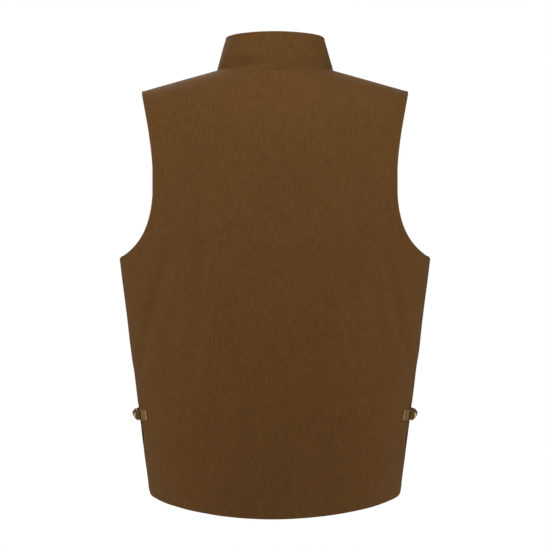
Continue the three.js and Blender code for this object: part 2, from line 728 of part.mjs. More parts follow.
// The slider's two plates run clear of the teeth, and its flanges clear of the cord and the tape.
const SLIDER_RISE = TOOTH_DEPTH / 2 + GAP + 0.1;
const FLANGE_CLEARANCE = 0.4;
const TAPE_CLEARANCE = 0.35;
const WALL_LAP = 0.2;
const LUG_HEIGHT = 4.6;
const LUG_HALF_WIDTH = 1.3;
const LUG_HALF_LENGTH = 5.5;
const LUG_PLACE = 0.62;
const LUG_LAP = 0.3;
const PULL_EYE = 1.5;
const PULL_SIDE_ROOM = 0.5;

function addSlider(chainTop) {
  const top = chainTop - SLIDER_TOP_DROP;
  const bottom = top - SLIDER_LENGTH;
  const flangeIn = CHAIN_SPINE_OUTER + FLANGE_CLEARANCE;
  const overTape = TAPE_THICKNESS / 2 + TAPE_CLEARANCE;
  const face = SLIDER_RISE + SLIDER_WALL;
  const lap = SLIDER_RISE + WALL_LAP;
  const wide = SLIDER_HALF_WIDTH;
  const lugZ = bottom + SLIDER_LENGTH * LUG_PLACE;
  let front = solidOf(box(-wide, wide, -face, -SLIDER_RISE, bottom, top));
  let rear = solidOf(box(-wide, wide, SLIDER_RISE, face, bottom, top));
  for (const { sign } of SIDES) {
    const x = [sign * flangeIn, sign * wide].sort((a, b) => a - b);
    front = front.add(solidOf(box(...x, -lap, -overTape, bottom, top)));
    rear = rear.add(solidOf(box(...x, overTape, lap, bottom, top)));
  }
  const [lugFoot, lugTop] = [face - LUG_LAP, face + LUG_HEIGHT];
  const eyeOut = face + LUG_HEIGHT / 2 - LUG_LAP;
  const long = LUG_HALF_LENGTH;
  const lug = new THREE.Shape();
  lug.moveTo(lugZ - long, lugFoot);
  lug.lineTo(lugZ + long, lugFoot);
  lug.quadraticCurveTo(lugZ + long - 0.5, lugTop, lugZ, lugTop);
  lug.quadraticCurveTo(lugZ - long + 0.5, lugTop, lugZ - long, lugFoot);
  const eye = new THREE.Path();
  eye.absarc(lugZ, eyeOut, PULL_EYE, 0, 2 * Math.PI, true);
  lug.holes.push(eye);
  const bridge = sweptAlongX(lug, -LUG_HALF_WIDTH, LUG_HALF_WIDTH);
  addMesh(zip, "zip_slider", geometryOf(front.add(solidOf(bridge))), BRASS);
  addMesh(zip, "zip_slider_back", geometryOf(rear), BRASS);
  addPull(lugZ, eyeOut);
}

// A flat tab whose top bar turns in the slider's eye.
function addPull(axisZ, axisOut) {
  const half = PULL_WIDTH / 2;
  const low = -PULL_LENGTH;
  const outline = new THREE.Shape();
  outline.moveTo(half - 1, PULL_BAR);
  outline.lineTo(-half + 1, PULL_BAR);
  outline.lineTo(-half, -1);
  outline.lineTo(-half, low + PULL_CORNER);
  outline.quadraticCurveTo(-half, low, PULL_CORNER - half, low);
  outline.lineTo(half - PULL_CORNER, low);
  outline.quadraticCurveTo(half, low, half, low + PULL_CORNER);
  outline.lineTo(half, -1);
  const lugRoom = LUG_HALF_WIDTH + PULL_SIDE_ROOM;
  outline.holes.push(rectanglePath(-lugRoom, lugRoom, -PULL_WINDOW, -PULL_BAR));
  const geometry = new THREE.ExtrudeGeometry(outline, {
    depth: PULL_THICKNESS,
    bevelEnabled: false,
    curveSegments: 4,
  });
  geometry.rotateX(Math.PI / 2);
  geometry.translate(0, PULL_THICKNESS / 2, 0);
  const pull = addMesh(zip, "zip_pull", geometryOf(solidOf(geometry)), BRASS);
  pull.position.set(0, -axisOut, axisZ);
}

function rectanglePath(x0, x1, y0, y1) {
  const path = new THREE.Path();
  path.moveTo(x0, y0);
  path.lineTo(x0, y1);
  path.lineTo(x1, y1);
  path.lineTo(x1, y0);
  return path;
}

// ---------------------------------------------------------------- pockets and flaps

const SEAT = SHELL_OUTSIDE + GAP;

// A height that runs straight between the given places down the body.
function profile(points) {
  const sorted = [...points].sort((a, b) => a[0] - b[0]);
  return (z) => {
    if (z <= sorted[0][0]) return sorted[0][1];
    for (let i = 1; i < sorted.length; i += 1) {
      const [z0, h0] = sorted[i - 1];
      const [z1, h1] = sorted[i];
      if (z <= z1) return h0 + ((h1 - h0) * (z - z0)) / (z1 - z0);
    }
    return sorted[sorted.length - 1][1];
  };
}

function roundedPatch(x0, x1, bottom, top, corner) {
  const arc = (centreX, from) => {
    const points = [];
    for (let k = 0; k <= 3; k += 1) {
      const turn = from + (k * Math.PI) / 6;
      points.push([centreX + corner * Math.cos(turn), bottom + corner + corner * Math.sin(turn)]);
    }
    return points;
  };
  return [...arc(x0 + corner, Math.PI), ...arc(x1 - corner, 1.5 * Math.PI), [x1, top], [x0, top]];
}

// A small round piece that stands on a surface of the front and faces the way the surface does.
function addOnFace(name, x, z, raise, radius, thickness) {
  const reach = 2;
  const at = (px, pz) => new THREE.Vector3(px, surfaceY(px, pz, raise(pz), -1), pz);
  const across = at(x + reach, z).sub(at(x - reach, z));
  const up = at(x, z + reach).sub(at(x, z - reach));
  const out = across.cross(up).normalize();
  const geometry = new THREE.CylinderGeometry(radius, radius, thickness, 16);
  const mesh = addMesh(vest, name, geometry, BRASS);
  mesh.quaternion.setFromUnitVectors(new THREE.Vector3(0, 1, 0), out);
  mesh.position.copy(at(x, z)).addScaledVector(out, GAP + thickness / 2);
}

function addPocket(pocket, word, sign) {
  const { name, inner, outer, mouth, bottom, corner } = pocket;
  const middle = mouth - (mouth - bottom) * 0.4;
  const front = profile([
    [mouth, SEAT + pocket.mouthDepth + POCKET_WALL],
    [middle, SEAT + pocket.midDepth + POCKET_WALL],
    [bottom, SEAT + pocket.bottomDepth + POCKET_WALL],
  ]);
  const rows = [mouth, middle, bottom];
  const outline = forSide(roundedPatch(inner, outer, bottom, mouth, corner), sign);
  const wall = POCKET_WALL;
  const hollowOutline = forSide(
    roundedPatch(inner + wall, outer - wall, bottom + wall, mouth + FLAP_RISE, corner - wall),
    sign,
  );
  const inside = formSolid((z) => front(z) - wall, rows);
  const hollow = inside.intersect(solidOf(sweptAlongY(hollowOutline, -FAR, 0)));
  const body = formSolid(front, rows).subtract(formSolid(SEAT, rows));
  const patch = body.intersect(solidOf(sweptAlongY(outline, -FAR, 0))).subtract(hollow);
  addMesh(vest, `${word}_${name}`, geometryOf(patch), CLOTH);

  const top = mouth + FLAP_RISE;
  const low = top - pocket.flapLength;
  const under = profile([
    [top, SEAT],
    [mouth, front(mouth) + FLAP_POCKET_GAP],
    [low, front(low) + FLAP_POCKET_GAP],
  ]);
  const flapRows = [top, mouth, low];
  const over = (z) => under(z) + FLAP_THICKNESS;
  const sheet = formSolid(over, flapRows).subtract(formSolid(under, flapRows));
  const [flapInner, flapOuter] = [inner - FLAP_OVERHANG, outer + FLAP_OVERHANG];
  const flapPatch = roundedPatch(flapInner, flapOuter, low, top, FLAP_CORNER);
  const flap = sheet.intersect(solidOf(sweptAlongY(forSide(flapPatch, sign), -FAR, 0)));
  addMesh(vest, `${word}_${name}_flap`, geometryOf(flap), CLOTH);

  const snapX = (sign * (inner + outer)) / 2;
  const snapZ = low + SNAP_ABOVE_FLAP_EDGE;
  addOnFace(`${word}_${name}_snap_cap`, snapX, snapZ, over, SNAP_RADIUS, SNAP_CAP_THICKNESS);
  addOnFace(`${word}_${name}_snap_stud`, snapX, snapZ, front, SNAP_STUD_RADIUS, SNAP_STUD_THICKNESS);
}

// ---------------------------------------------------------------- side adjusters

const HALF_TURN_STEPS = 6;
const LOOP_RADIUS = Math.hypot(BUCKLE_BAR, BUCKLE_THICKNESS) / 2 + GAP + WEBBING_THICKNESS / 2;
const WEBBING_SEAT = SEAT + WEBBING_THICKNESS / 2;
const STRAP_SEAT = WEBBING_SEAT + STRAP_EASE;

// A plan point over the side of the body, from the side seam, at a turn in degrees from the middle.
function sidePoint(angle, raise, side) {
  const turn = THREE.MathUtils.degToRad(angle);
  const half = bodyHalfWidth(ADJUSTER_Z);
  const flat = side > 0 ? 0 : ZIP_FLAT_HALF_WIDTH;
  const base = flat + (half - flat) * Math.sin(turn);
  const depth = side > 0 ? backLine(ADJUSTER_Z) : frontDepth(ADJUSTER_Z);
  return [base * (1 + raise / half) - half, side * (depth + raise) * Math.cos(turn)];
}

function alongSide(from, to, raise, side, steps) {
  const points = [];
  for (let k = 0; k <= steps; k += 1) {
    points.push(sidePoint(from + ((to - from) * k) / steps, raise, side));
  }
  return points;
}

// A half turn round a bar, from its inner side to its outer side, bulging along Y by side.
function roundBar([x, y], side) {
  const points = [];
  for (let k = 0; k <= HALF_TURN_STEPS; k += 1) {
    const turn = (k / HALF_TURN_STEPS) * Math.PI;
    points.push([x - LOOP_RADIUS * Math.cos(turn), y + side * LOOP_RADIUS * Math.sin(turn)]);
  }
  return points;
}

function addAdjuster(word, sign) {
  const group = new THREE.Group();
  group.position.set(sign * bodyHalfWidth(ADJUSTER_Z), 0, ADJUSTER_Z);
  group.rotation.y = sign * Math.atan(SIDE_TAPER);
  vest.add(group);
  const lean = (BUCKLE_FRONT_STANDOFF - BUCKLE_BACK_STANDOFF) / 2;
  const barSpan = (BUCKLE_LENGTH - BUCKLE_BAR) / 2;
  const reachY = Math.sqrt(barSpan ** 2 - lean ** 2);
  const backBar = [BUCKLE_BACK_STANDOFF, reachY];
  const frontBar = [BUCKLE_FRONT_STANDOFF, -reachY];
  const band = (name, path, look) => {
    const points = path.map(([x, y]) => new THREE.Vector2(sign * x, y));
    const shape = bandShape(points, WEBBING_THICKNESS);
    addMesh(group, name, sweptAlongZ(shape, -WEBBING_WIDTH / 2, WEBBING_WIDTH / 2), look);
  };
  const fold = 2 * WEBBING_THICKNESS;
  band(`${word}_adjuster_tab`, [
    ...alongSide(68, 79, WEBBING_SEAT, 1, 3),
    ...roundBar(backBar, -1),
    sidePoint(80, WEBBING_SEAT + fold + 2, 1),
    sidePoint(77, WEBBING_SEAT + fold, 1),
  ], WEBBING);
  band(`${word}_adjuster_strap`, [
    ...alongSide(56, 80, STRAP_SEAT, -1, 6),
    ...roundBar(frontBar, 1),
    sidePoint(80, STRAP_SEAT + fold + 6, -1),
    sidePoint(74, STRAP_SEAT + fold + 1.5, -1),
    ...alongSide(69, 62, STRAP_SEAT + fold - 0.6, -1, 2),
  ], DARK_WEBBING);
  const buckle = addMesh(group, `${word}_buckle`, buckleGeometry(), BRASS);
  buckle.position.set((sign * (backBar[0] + frontBar[0])) / 2, 0, 0);
  buckle.rotation.z = Math.atan2(backBar[1] - frontBar[1], sign * (backBar[0] - frontBar[0]));
}

// The two-slot plate, lying in XZ with its slots side by side along X.
function buckleGeometry() {
  const [halfLength, halfHeight, corner] = [BUCKLE_LENGTH / 2, BUCKLE_HEIGHT / 2, BUCKLE_CORNER];
  const frame = new THREE.Shape();
  frame.moveTo(-halfLength + corner, -halfHeight);
  frame.lineTo(halfLength - corner, -halfHeight);
  frame.lineTo(halfLength, -halfHeight + corner);
  frame.lineTo(halfLength, halfHeight - corner);
  frame.lineTo(halfLength - corner, halfHeight);
  frame.lineTo(-halfLength + corner, halfHeight);
  frame.lineTo(-halfLength, halfHeight - corner);
  frame.lineTo(-halfLength, -halfHeight + corner);
  const halfPlate = BUCKLE_THICKNESS / 2;
  const slotHalf = WEBBING_WIDTH / 2 + BUCKLE_SLOT_CLEARANCE;
  let plate = solidOf(sweptAlongZ(frame, -halfPlate, halfPlate));
  for (const end of [-1, 1]) {
    const slot = [end * (BUCKLE_BAR / 2), end * (halfLength - BUCKLE_BAR)].sort((a, b) => a - b);
    plate = plate.subtract(solidOf(box(...slot, -slotHalf, slotHalf, -FAR, FAR)));
  }
  return geometryOf(plate).rotateX(Math.PI / 2);
}

// ---------------------------------------------------------------- chest ring

function addChestRing() {
  const group = new THREE.Group();
  group.position.set(RING_X, surfaceY(RING_X, RING_Z, SHELL_OUTSIDE, -1), RING_Z);
  group.rotation.z = frontTurn(RING_X, RING_Z, SHELL_OUTSIDE);
  vest.add(group);
  const loop = Math.hypot(RING_BAR, RING_THICKNESS) / 2 + GAP + WEBBING_THICKNESS / 2;
  const near = GAP + WEBBING_THICKNESS / 2;
  const ringOut = near + loop + RING_RUNNING_GAP;
  const path = [[RING_TAB_LENGTH, near], [RING_TAB_BEND, near]];
  for (let k = 0; k <= HALF_TURN_STEPS; k += 1) {
    const turn = (k / HALF_TURN_STEPS) * Math.PI;
    path.push([-loop * Math.sin(turn), ringOut - loop * Math.cos(turn)]);
  }
  const far = near + WEBBING_THICKNESS + GAP;
  path.push([RING_TAB_BEND + 4, far + 2 * GAP], [RING_TAB_LENGTH, far]);
  const band = bandShape(path.map(([z, out]) => new THREE.Vector2(z, out)), WEBBING_THICKNESS);
  const halfBand = WEBBING_WIDTH / 2;
  addMesh(group, "chest_ring_tab", sweptAlongX(band, -halfBand, halfBand), DARK_WEBBING);
  const inner = RING_INNER_WIDTH / 2;
  const outer = inner + RING_BAR;
  const ring = new THREE.Shape();
  const side = -RING_STRAIGHT;
  ring.moveTo(outer, RING_BAR / 2);
  ring.lineTo(-outer, RING_BAR / 2);
  ring.lineTo(-outer, side);
  ring.absarc(0, side, outer, Math.PI, 2 * Math.PI, false);
  const hole = new THREE.Path();
  hole.moveTo(-inner, -RING_BAR / 2);
  hole.lineTo(inner, -RING_BAR / 2);
  hole.lineTo(inner, side);
  hole.absarc(0, side, inner, 0, Math.PI, true);
  ring.holes.push(hole);
  const plate = new THREE.ExtrudeGeometry(ring, {
    depth: RING_THICKNESS,
    bevelEnabled: false,
    curveSegments: 10,
  });
  plate.rotateX(Math.PI / 2);
  plate.translate(0, RING_THICKNESS / 2, 0);
  const mesh = addMesh(group, "chest_ring", geometryOf(solidOf(plate)), BRASS);
  mesh.position.set(0, -ringOut, 0);
}

addPanels();
addCollar();
addZip();
for (const { word, sign } of SIDES) {
  for (const pocket of [CHEST_POCKET, LOWER_POCKET]) addPocket(pocket, word, sign);
  addAdjuster(word, sign);
}
addChestRing();

export default vest;
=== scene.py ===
import math

import bmesh
import bpy
import numpy as np
from mathutils import Matrix, Vector


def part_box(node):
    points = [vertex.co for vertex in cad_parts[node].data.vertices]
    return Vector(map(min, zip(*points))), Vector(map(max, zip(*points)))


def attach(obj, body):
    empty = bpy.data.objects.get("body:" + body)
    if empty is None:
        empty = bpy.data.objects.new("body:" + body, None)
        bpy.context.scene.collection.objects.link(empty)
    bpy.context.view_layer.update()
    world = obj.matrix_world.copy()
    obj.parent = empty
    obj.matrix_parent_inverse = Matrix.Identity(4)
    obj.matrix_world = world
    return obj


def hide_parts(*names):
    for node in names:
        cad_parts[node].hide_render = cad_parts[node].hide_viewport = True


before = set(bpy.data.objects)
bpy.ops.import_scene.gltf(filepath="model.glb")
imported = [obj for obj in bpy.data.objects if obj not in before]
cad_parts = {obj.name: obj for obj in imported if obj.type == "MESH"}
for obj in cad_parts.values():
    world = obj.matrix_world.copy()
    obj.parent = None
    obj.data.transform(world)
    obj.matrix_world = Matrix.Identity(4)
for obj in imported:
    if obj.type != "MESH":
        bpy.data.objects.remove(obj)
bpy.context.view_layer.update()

scene = bpy.context.scene
mm = 0.001

# The cloth is worked out in millimetres and turned to metres where a mesh is made.
# The wearer's left is +X, the back is +Y.
sides = (("left", 1), ("right", -1))


print("camera and studio")

studio = {
    "cameraPlace": (0.0, 2.56, -0.3195),
    "lens": 106.7,
    "floorHeight": -1.45,
    "floorSize": 7.0,
    "floorGlow": 0.84,
    "surround": 0.235,
}
softboxes = {
    "topSoftbox": {"place": (0.0, 1.02, 0.52), "aim": (0, 0.1, -0.2), "size": (1.6, 0.9), "power": 15.8},
    "leftStrip": {"place": (1.0, 0.2, -0.52), "aim": (0.1, 0, -0.45), "size": (0.4, 1.0), "power": 3.6},
    "rightStrip": {"place": (-1.0, 0.2, -0.52), "aim": (-0.1, 0, -0.45), "size": (0.4, 1.0), "power": 3.4},
    "frontSoftbox": {"place": (0.4, -1.5, 0.85), "aim": (0, 0, -0.3), "size": (1.6, 1.2), "power": 32},
}

bpy.ops.object.camera_add(location=studio["cameraPlace"], rotation=(math.pi / 2, 0, math.pi))
backCamera = bpy.context.object
backCamera.name = "backCamera"
backCamera.data.lens = studio["lens"]
backCamera.data.sensor_width = 36
backCamera.data.clip_start = 0.05
backCamera.data.clip_end = 60
scene.camera = backCamera
scene.view_settings.view_transform = "Standard"

for name, box in softboxes.items():
    bpy.ops.object.light_add(type="AREA", location=box["place"])
    softbox = bpy.context.object
    softbox.name = name
    softbox.data.shape = "RECTANGLE"
    softbox.data.size, softbox.data.size_y = box["size"]
    softbox.data.energy = box["power"]
    softbox.visible_camera = False
    aim = Vector(box["aim"]) - Vector(box["place"])
    softbox.rotation_euler = aim.to_track_quat("-Z", "Y").to_euler()

surround = bpy.data.worlds.new("whiteSurround")
surround.use_nodes = True
scene.world = surround
air = surround.node_tree
air.nodes.clear()
airOut = air.nodes.new("ShaderNodeOutputWorld")
airMix = air.nodes.new("ShaderNodeMixShader")
airPath = air.nodes.new("ShaderNodeLightPath")
for slot, strength in ((1, studio["surround"]), (2, 1.0)):
    glow = air.nodes.new("ShaderNodeBackground")
    glow.inputs["Color"].default_value = (1, 1, 1, 1)
    glow.inputs["Strength"].default_value = strength
    air.links.new(glow.outputs[0], airMix.inputs[slot])
air.links.new(airPath.outputs["Is Camera Ray"], airMix.inputs[0])
air.links.new(airMix.outputs[0], airOut.inputs["Surface"])


print("materials")


# A socket takes either another node's output or a plain value.
def feed(tree, socket, value):
    if isinstance(value, bpy.types.NodeSocket):
        tree.links.new(value, socket)
    else:
        socket.default_value = value


def addNode(tree, kind, **inputs):
    node = tree.nodes.new(kind)
    for key, value in inputs.items():
        if hasattr(node, key) and key not in node.inputs:
            setattr(node, key, value)
        else:
            feed(tree, node.inputs[key.replace("_", " ")], value)
    return node


def mathNode(tree, operation, *values):
    node = tree.nodes.new("ShaderNodeMath")
    node.operation = operation
    for socket, value in zip(node.inputs, values):
        feed(tree, socket, value)
    return node.outputs[0]


def mixColour(tree, factor, first, second):
    node = tree.nodes.new("ShaderNodeMix")
    node.data_type = "RGBA"
    for slot, value in ((0, factor), (6, first), (7, second)):
        feed(tree, node.inputs[slot], value)
    return node.outputs[2]


def newGroup(name, inputs, outputs):
    group = bpy.data.node_groups.new(name, "ShaderNodeTree")
    for label, kind, value in inputs:
        socket = group.interface.new_socket(label, in_out="INPUT", socket_type=kind)
        if value is not None:
            socket.default_value = value
    for label, kind in outputs:
        group.interface.new_socket(label, in_out="OUTPUT", socket_type=kind)
    start = group.nodes.new("NodeGroupInput")
    end = group.nodes.new("NodeGroupOutput")
    return group, start.outputs, end.inputs


def useGroup(tree, group, **inputs):
    node = tree.nodes.new("ShaderNodeGroup")
    node.node_tree = group
    for key, value in inputs.items():
        feed(tree, node.inputs[key], value)
    return node.outputs


# Woven threads: warp and weft ridges that pass over and under each other in a two-one twill.
def makeThreadWeave():
    group, start, end = newGroup(
        "threadWeave",
        [
            ("Place", "NodeSocketVector", None),
            ("ThreadsAcross", "NodeSocketFloat", 1600.0),
            ("ThreadsAlong", "NodeSocketFloat", 1500.0),
            ("Repeat", "NodeSocketFloat", 3.0),
        ],
        [("Height", "NodeSocketFloat"), ("Gaps", "NodeSocketFloat")],
    )
    split = addNode(group, "ShaderNodeSeparateXYZ", Vector=start["Place"])
    across = mathNode(group, "MULTIPLY", split.outputs[0], start["ThreadsAcross"])
    along = mathNode(group, "MULTIPLY", split.outputs[1], start["ThreadsAlong"])
    warp, weft = (
        mathNode(group, "ABSOLUTE", mathNode(group, "SINE", mathNode(group, "MULTIPLY", way, math.pi)))
        for way in (across, along)
    )
    steps = mathNode(group, "SUBTRACT", mathNode(group, "FLOOR", across), mathNode(group, "FLOOR", along))
    turn = mathNode(group, "FLOORED_MODULO", steps, start["Repeat"])
    over = mathNode(group, "LESS_THAN", turn, 1.5)
    lifted = mathNode(group, "MULTIPLY", over, mathNode(group, "SUBTRACT", warp, weft))
    height = mathNode(group, "ADD", weft, lifted)
    group.links.new(height, end["Height"])
    gaps = mathNode(group, "SUBTRACT", 1.0, mathNode(group, "MAXIMUM", warp, weft))
    group.links.new(gaps, end["Gaps"])
    return group


# Soft crumple of worn cotton: broad puckers, fine vertical crinkle and a peached nap.
def makeClothCrinkle():
    group, start, end = newGroup(
        "clothCrinkle",
        [("Place", "NodeSocketVector", None), ("Size", "NodeSocketFloat", 1.0)],
        [("Height", "NodeSocketFloat"), ("Tone", "NodeSocketFloat"), ("Nap", "NodeSocketFloat")],
    )
    stretched = addNode(group, "ShaderNodeMapping", Vector=start["Place"], Scale=(1.0, 0.42, 0.6))
    spun = addNode(group, "ShaderNodeMapping", Vector=start["Place"], Scale=(1.0, 0.16, 1.0))
    slubs = addNode(group, "ShaderNodeTexNoise", Vector=spun.outputs[0], Detail=3.0, Roughness=0.7)
    broad = addNode(group, "ShaderNodeTexNoise", Vector=start["Place"], Detail=3.0, Roughness=0.55)
    fine = addNode(group, "ShaderNodeTexNoise", Vector=stretched.outputs[0], Detail=4.0, Roughness=0.62)
    nap = addNode(group, "ShaderNodeTexNoise", Vector=start["Place"], Detail=2.0, Roughness=0.7)
    for node, scale in ((broad, 11.0), (fine, 150.0), (slubs, 430.0), (nap, 900.0)):
        group.links.new(mathNode(group, "MULTIPLY", start["Size"], scale), node.inputs["Scale"])
    ridges = addNode(group, "ShaderNodeTexNoise", Vector=stretched.outputs[0], Detail=2.0, Roughness=0.5)
    group.links.new(mathNode(group, "MULTIPLY", start["Size"], 62.0), ridges.inputs["Scale"])
    puckers = mathNode(group, "MULTIPLY_ADD", ridges.outputs[0], 1.1, fine.outputs[0])
    group.links.new(puckers, end["Height"])
    mottle = mathNode(group, "MULTIPLY_ADD", ridges.outputs[0], 0.14, slubs.outputs[0])
    mottle = mathNode(group, "MULTIPLY_ADD", fine.outputs[0], 0.35, mottle)
    group.links.new(mathNode(group, "MULTIPLY_ADD", broad.outputs[0], 0.2, mottle), end["Tone"])
    group.links.new(nap.outputs[0], end["Nap"])
    return group


# Wear that follows folded edges, and the painted highlights laid on some folds, broken up so that it doesn't
# run as an even line.
def makeEdgeWear():
    group, start, end = newGroup(
        "edgeWear",
        [
            ("Place", "NodeSocketVector", None),
            ("Edge", "NodeSocketFloat", 0.0),
            ("Grain", "NodeSocketFloat", 220.0),
        ],
        [("Mask", "NodeSocketFloat")],
    )
    patches = addNode(
        group, "ShaderNodeTexNoise", Vector=start["Place"], Scale=start["Grain"], Detail=4.0, Roughness=0.65,
    )
    broken = mathNode(group, "MULTIPLY_ADD", patches.outputs[0], 2.4, -0.7)
    mask = addNode(group, "ShaderNodeClamp", Value=mathNode(group, "MULTIPLY", start["Edge"], broken))
    group.links.new(mask.outputs[0], end["Mask"])
    return group


# Tarnish of aged brass: cloudy dark film, fine brushing and small pits.
def makeTarnish():
    group, start, end = newGroup(
        "tarnish",
        [("Place", "NodeSocketVector", None), ("Amount", "NodeSocketFloat", 0.5)],
        [("Film", "NodeSocketFloat"), ("Rough", "NodeSocketFloat"), ("Height", "NodeSocketFloat")],
    )
    cloud = addNode(
        group, "ShaderNodeTexNoise", Vector=start["Place"], Scale=260.0, Detail=5.0, Roughness=0.6,
    )
    pits = addNode(group, "ShaderNodeTexVoronoi", Vector=start["Place"], Scale=1500.0)
    brush = addNode(group, "ShaderNodeMapping", Vector=start["Place"], Scale=(1.0, 1.0, 9.0))
    lines = addNode(group, "ShaderNodeTexNoise", Vector=brush.outputs[0], Scale=900.0, Detail=2.0)
    film = mathNode(group, "MULTIPLY", mathNode(group, "SUBTRACT", cloud.outputs[0], 0.33), 2.6)
    group.links.new(mathNode(group, "MULTIPLY", film, start["Amount"]), end["Film"])
    rough = mathNode(group, "MULTIPLY_ADD", cloud.outputs[0], 0.3, 0.17)
    group.links.new(mathNode(group, "MULTIPLY_ADD", lines.outputs[0], 0.1, rough), end["Rough"])
    group.links.new(mathNode(group, "MULTIPLY_ADD", pits.outputs[0], 0.5, lines.outputs[0]), end["Height"])
    return group


threadWeave = makeThreadWeave()
clothCrinkle = makeClothCrinkle()
edgeWear = makeEdgeWear()
tarnish = makeTarnish()


def startMaterial(name):
    material = bpy.data.materials.new(name)
    material.use_nodes = True
    tree = material.node_tree
    shader = tree.nodes["Principled BSDF"]
    return material, tree, shader


# The point attribute edgeRub is above 0 where the cloth is rubbed light, by wear and in places by a painted
# highlight, and below 0 where painted shade darkens it.
def makeCloth(name, look):
    material, tree, shader = startMaterial(name)
    flat = addNode(tree, "ShaderNodeUVMap", uv_map="flatCut").outputs[0]
    edge = addNode(tree, "ShaderNodeAttribute", attribute_name="edgeRub").outputs["Fac"]
    weave = useGroup(
        tree, threadWeave, Place=flat, ThreadsAcross=look["threads"], ThreadsAlong=look["threads"] * 0.92,
        Repeat=look["repeat"],
    )
    crinkle = useGroup(tree, clothCrinkle, Place=flat, Size=look["crinkleSize"])
    worn = useGroup(tree, edgeWear, Place=flat, Edge=edge, Grain=look["wearGrain"])["Mask"]
    tone = addNode(tree, "ShaderNodeMapRange", Value=crinkle["Tone"], From_Min=0.67, From_Max=1.03)
    colour = mixColour(tree, tone.outputs[0], look["deep"], look["light"])
    for mask, most, tint in (
        (crinkle["Nap"], "napMix", "nap"), (weave["Gaps"], "gapMix", "gap"), (worn, "wearMix", "worn"),
    ):
        colour = mixColour(tree, mathNode(tree, "MULTIPLY", mask, look[most]), colour, look[tint])
    # Below 0 the edgeRub value paints shade, drawing the colour to the dark gap tint.
    paintedShade = addNode(tree, "ShaderNodeClamp", Value=mathNode(tree, "MULTIPLY", edge, -1.0))
    colour = mixColour(tree, paintedShade.outputs[0], colour, look["gap"])
    tree.links.new(colour, shader.inputs["Base Color"])
    rough = mathNode(tree, "MULTIPLY_ADD", crinkle["Nap"], 0.14, look["rough"])
    tree.links.new(rough, shader.inputs["Roughness"])
    shader.inputs["Specular IOR Level"].default_value = look["gloss"]
    shader.inputs["Sheen Weight"].default_value = look["sheen"]
    shader.inputs["Sheen Roughness"].default_value = 0.55
    shader.inputs["Sheen Tint"].default_value = look["sheenTint"]
    soft = addNode(
        tree, "ShaderNodeBump", Height=crinkle["Height"], Strength=look["crinkleBump"], Distance=0.0011,
    )
    fine = addNode(
        tree, "ShaderNodeBump", Height=weave["Height"], Strength=look["weaveBump"], Distance=0.00022,
        Normal=soft.outputs[0],
    )
    tree.links.new(fine.outputs[0], shader.inputs["Normal"])
    return material


shellLook = {
    "threads": 1450.0, "repeat": 3.0, "crinkleSize": 1.0, "wearGrain": 260.0,
    "deep": (0.1, 0.0435, 0.0096, 1), "light": (0.138, 0.0615, 0.0148, 1),
    "nap": (0.165, 0.08, 0.0225, 1), "napMix": 0.2, "gap": (0.036, 0.0155, 0.004, 1), "gapMix": 0.5,
    "worn": (0.21, 0.115, 0.042, 1), "wearMix": 0.55, "rough": 0.82, "sheen": 0.05, "gloss": 0.12,
    "sheenTint": (0.9, 0.68, 0.42, 1), "crinkleBump": 0.42, "weaveBump": 0.6,
}
liningLook = {
    "threads": 2100.0, "repeat": 2.0, "crinkleSize": 0.8, "wearGrain": 300.0,
    "deep": (0.056, 0.029, 0.0115, 1), "light": (0.088, 0.048, 0.02, 1),
    "nap": (0.1, 0.058, 0.028, 1), "napMix": 0.2, "gap": (0.02, 0.011, 0.005, 1), "gapMix": 0.45,
    "worn": (0.12, 0.075, 0.04, 1), "wearMix": 0.4, "rough": 0.62, "sheen": 0.04, "gloss": 0.2,
    "sheenTint": (0.8, 0.7, 0.6, 1), "crinkleBump": 0.22, "weaveBump": 0.35,
}
tapeLook = {
    "threads": 1250.0, "repeat": 4.0, "crinkleSize": 1.4, "wearGrain": 400.0,
    "deep": (0.038, 0.021, 0.008, 1), "light": (0.062, 0.035, 0.0145, 1),
    "nap": (0.075, 0.045, 0.022, 1), "napMix": 0.25, "gap": (0.012, 0.007, 0.003, 1), "gapMix": 0.6,
    "worn": (0.1, 0.066, 0.035, 1), "wearMix": 0.5, "rough": 0.76, "sheen": 0.05, "gloss": 0.15,
    "sheenTint": (0.8, 0.7, 0.6, 1), "crinkleBump": 0.06, "weaveBump": 0.75,
}
# The webbing's pale worn tint paints wear and the highlight on the tab's folded bar.
tanLook = {
    "threads": 1150.0, "repeat": 2.0, "crinkleSize": 2.0, "wearGrain": 500.0,
    "deep": (0.12, 0.062, 0.017, 1), "light": (0.2, 0.109, 0.033, 1),
    "nap": (0.3, 0.19, 0.08, 1), "napMix": 0.22, "gap": (0.04, 0.021, 0.007, 1), "gapMix": 0.65,
    "worn": (0.66, 0.42, 0.175, 1), "wearMix": 0.95, "rough": 0.74, "sheen": 0.02, "gloss": 0.12,
    "sheenTint": (0.95, 0.85, 0.65, 1), "crinkleBump": 0.05, "weaveBump": 0.8,
}
darkLook = {
    "threads": 1150.0, "repeat": 2.0, "crinkleSize": 2.0, "wearGrain": 500.0,
    "deep": (0.02, 0.0105, 0.004, 1), "light": (0.036, 0.02, 0.0085, 1),
    "nap": (0.055, 0.034, 0.018, 1), "napMix": 0.3, "gap": (0.006, 0.003, 0.002, 1), "gapMix": 0.6,
    "worn": (0.085, 0.052, 0.026, 1), "wearMix": 0.6, "rough": 0.74, "sheen": 0.05, "gloss": 0.15,
    "sheenTint": (0.8, 0.7, 0.6, 1), "crinkleBump": 0.05, "weaveBump": 0.8,
}
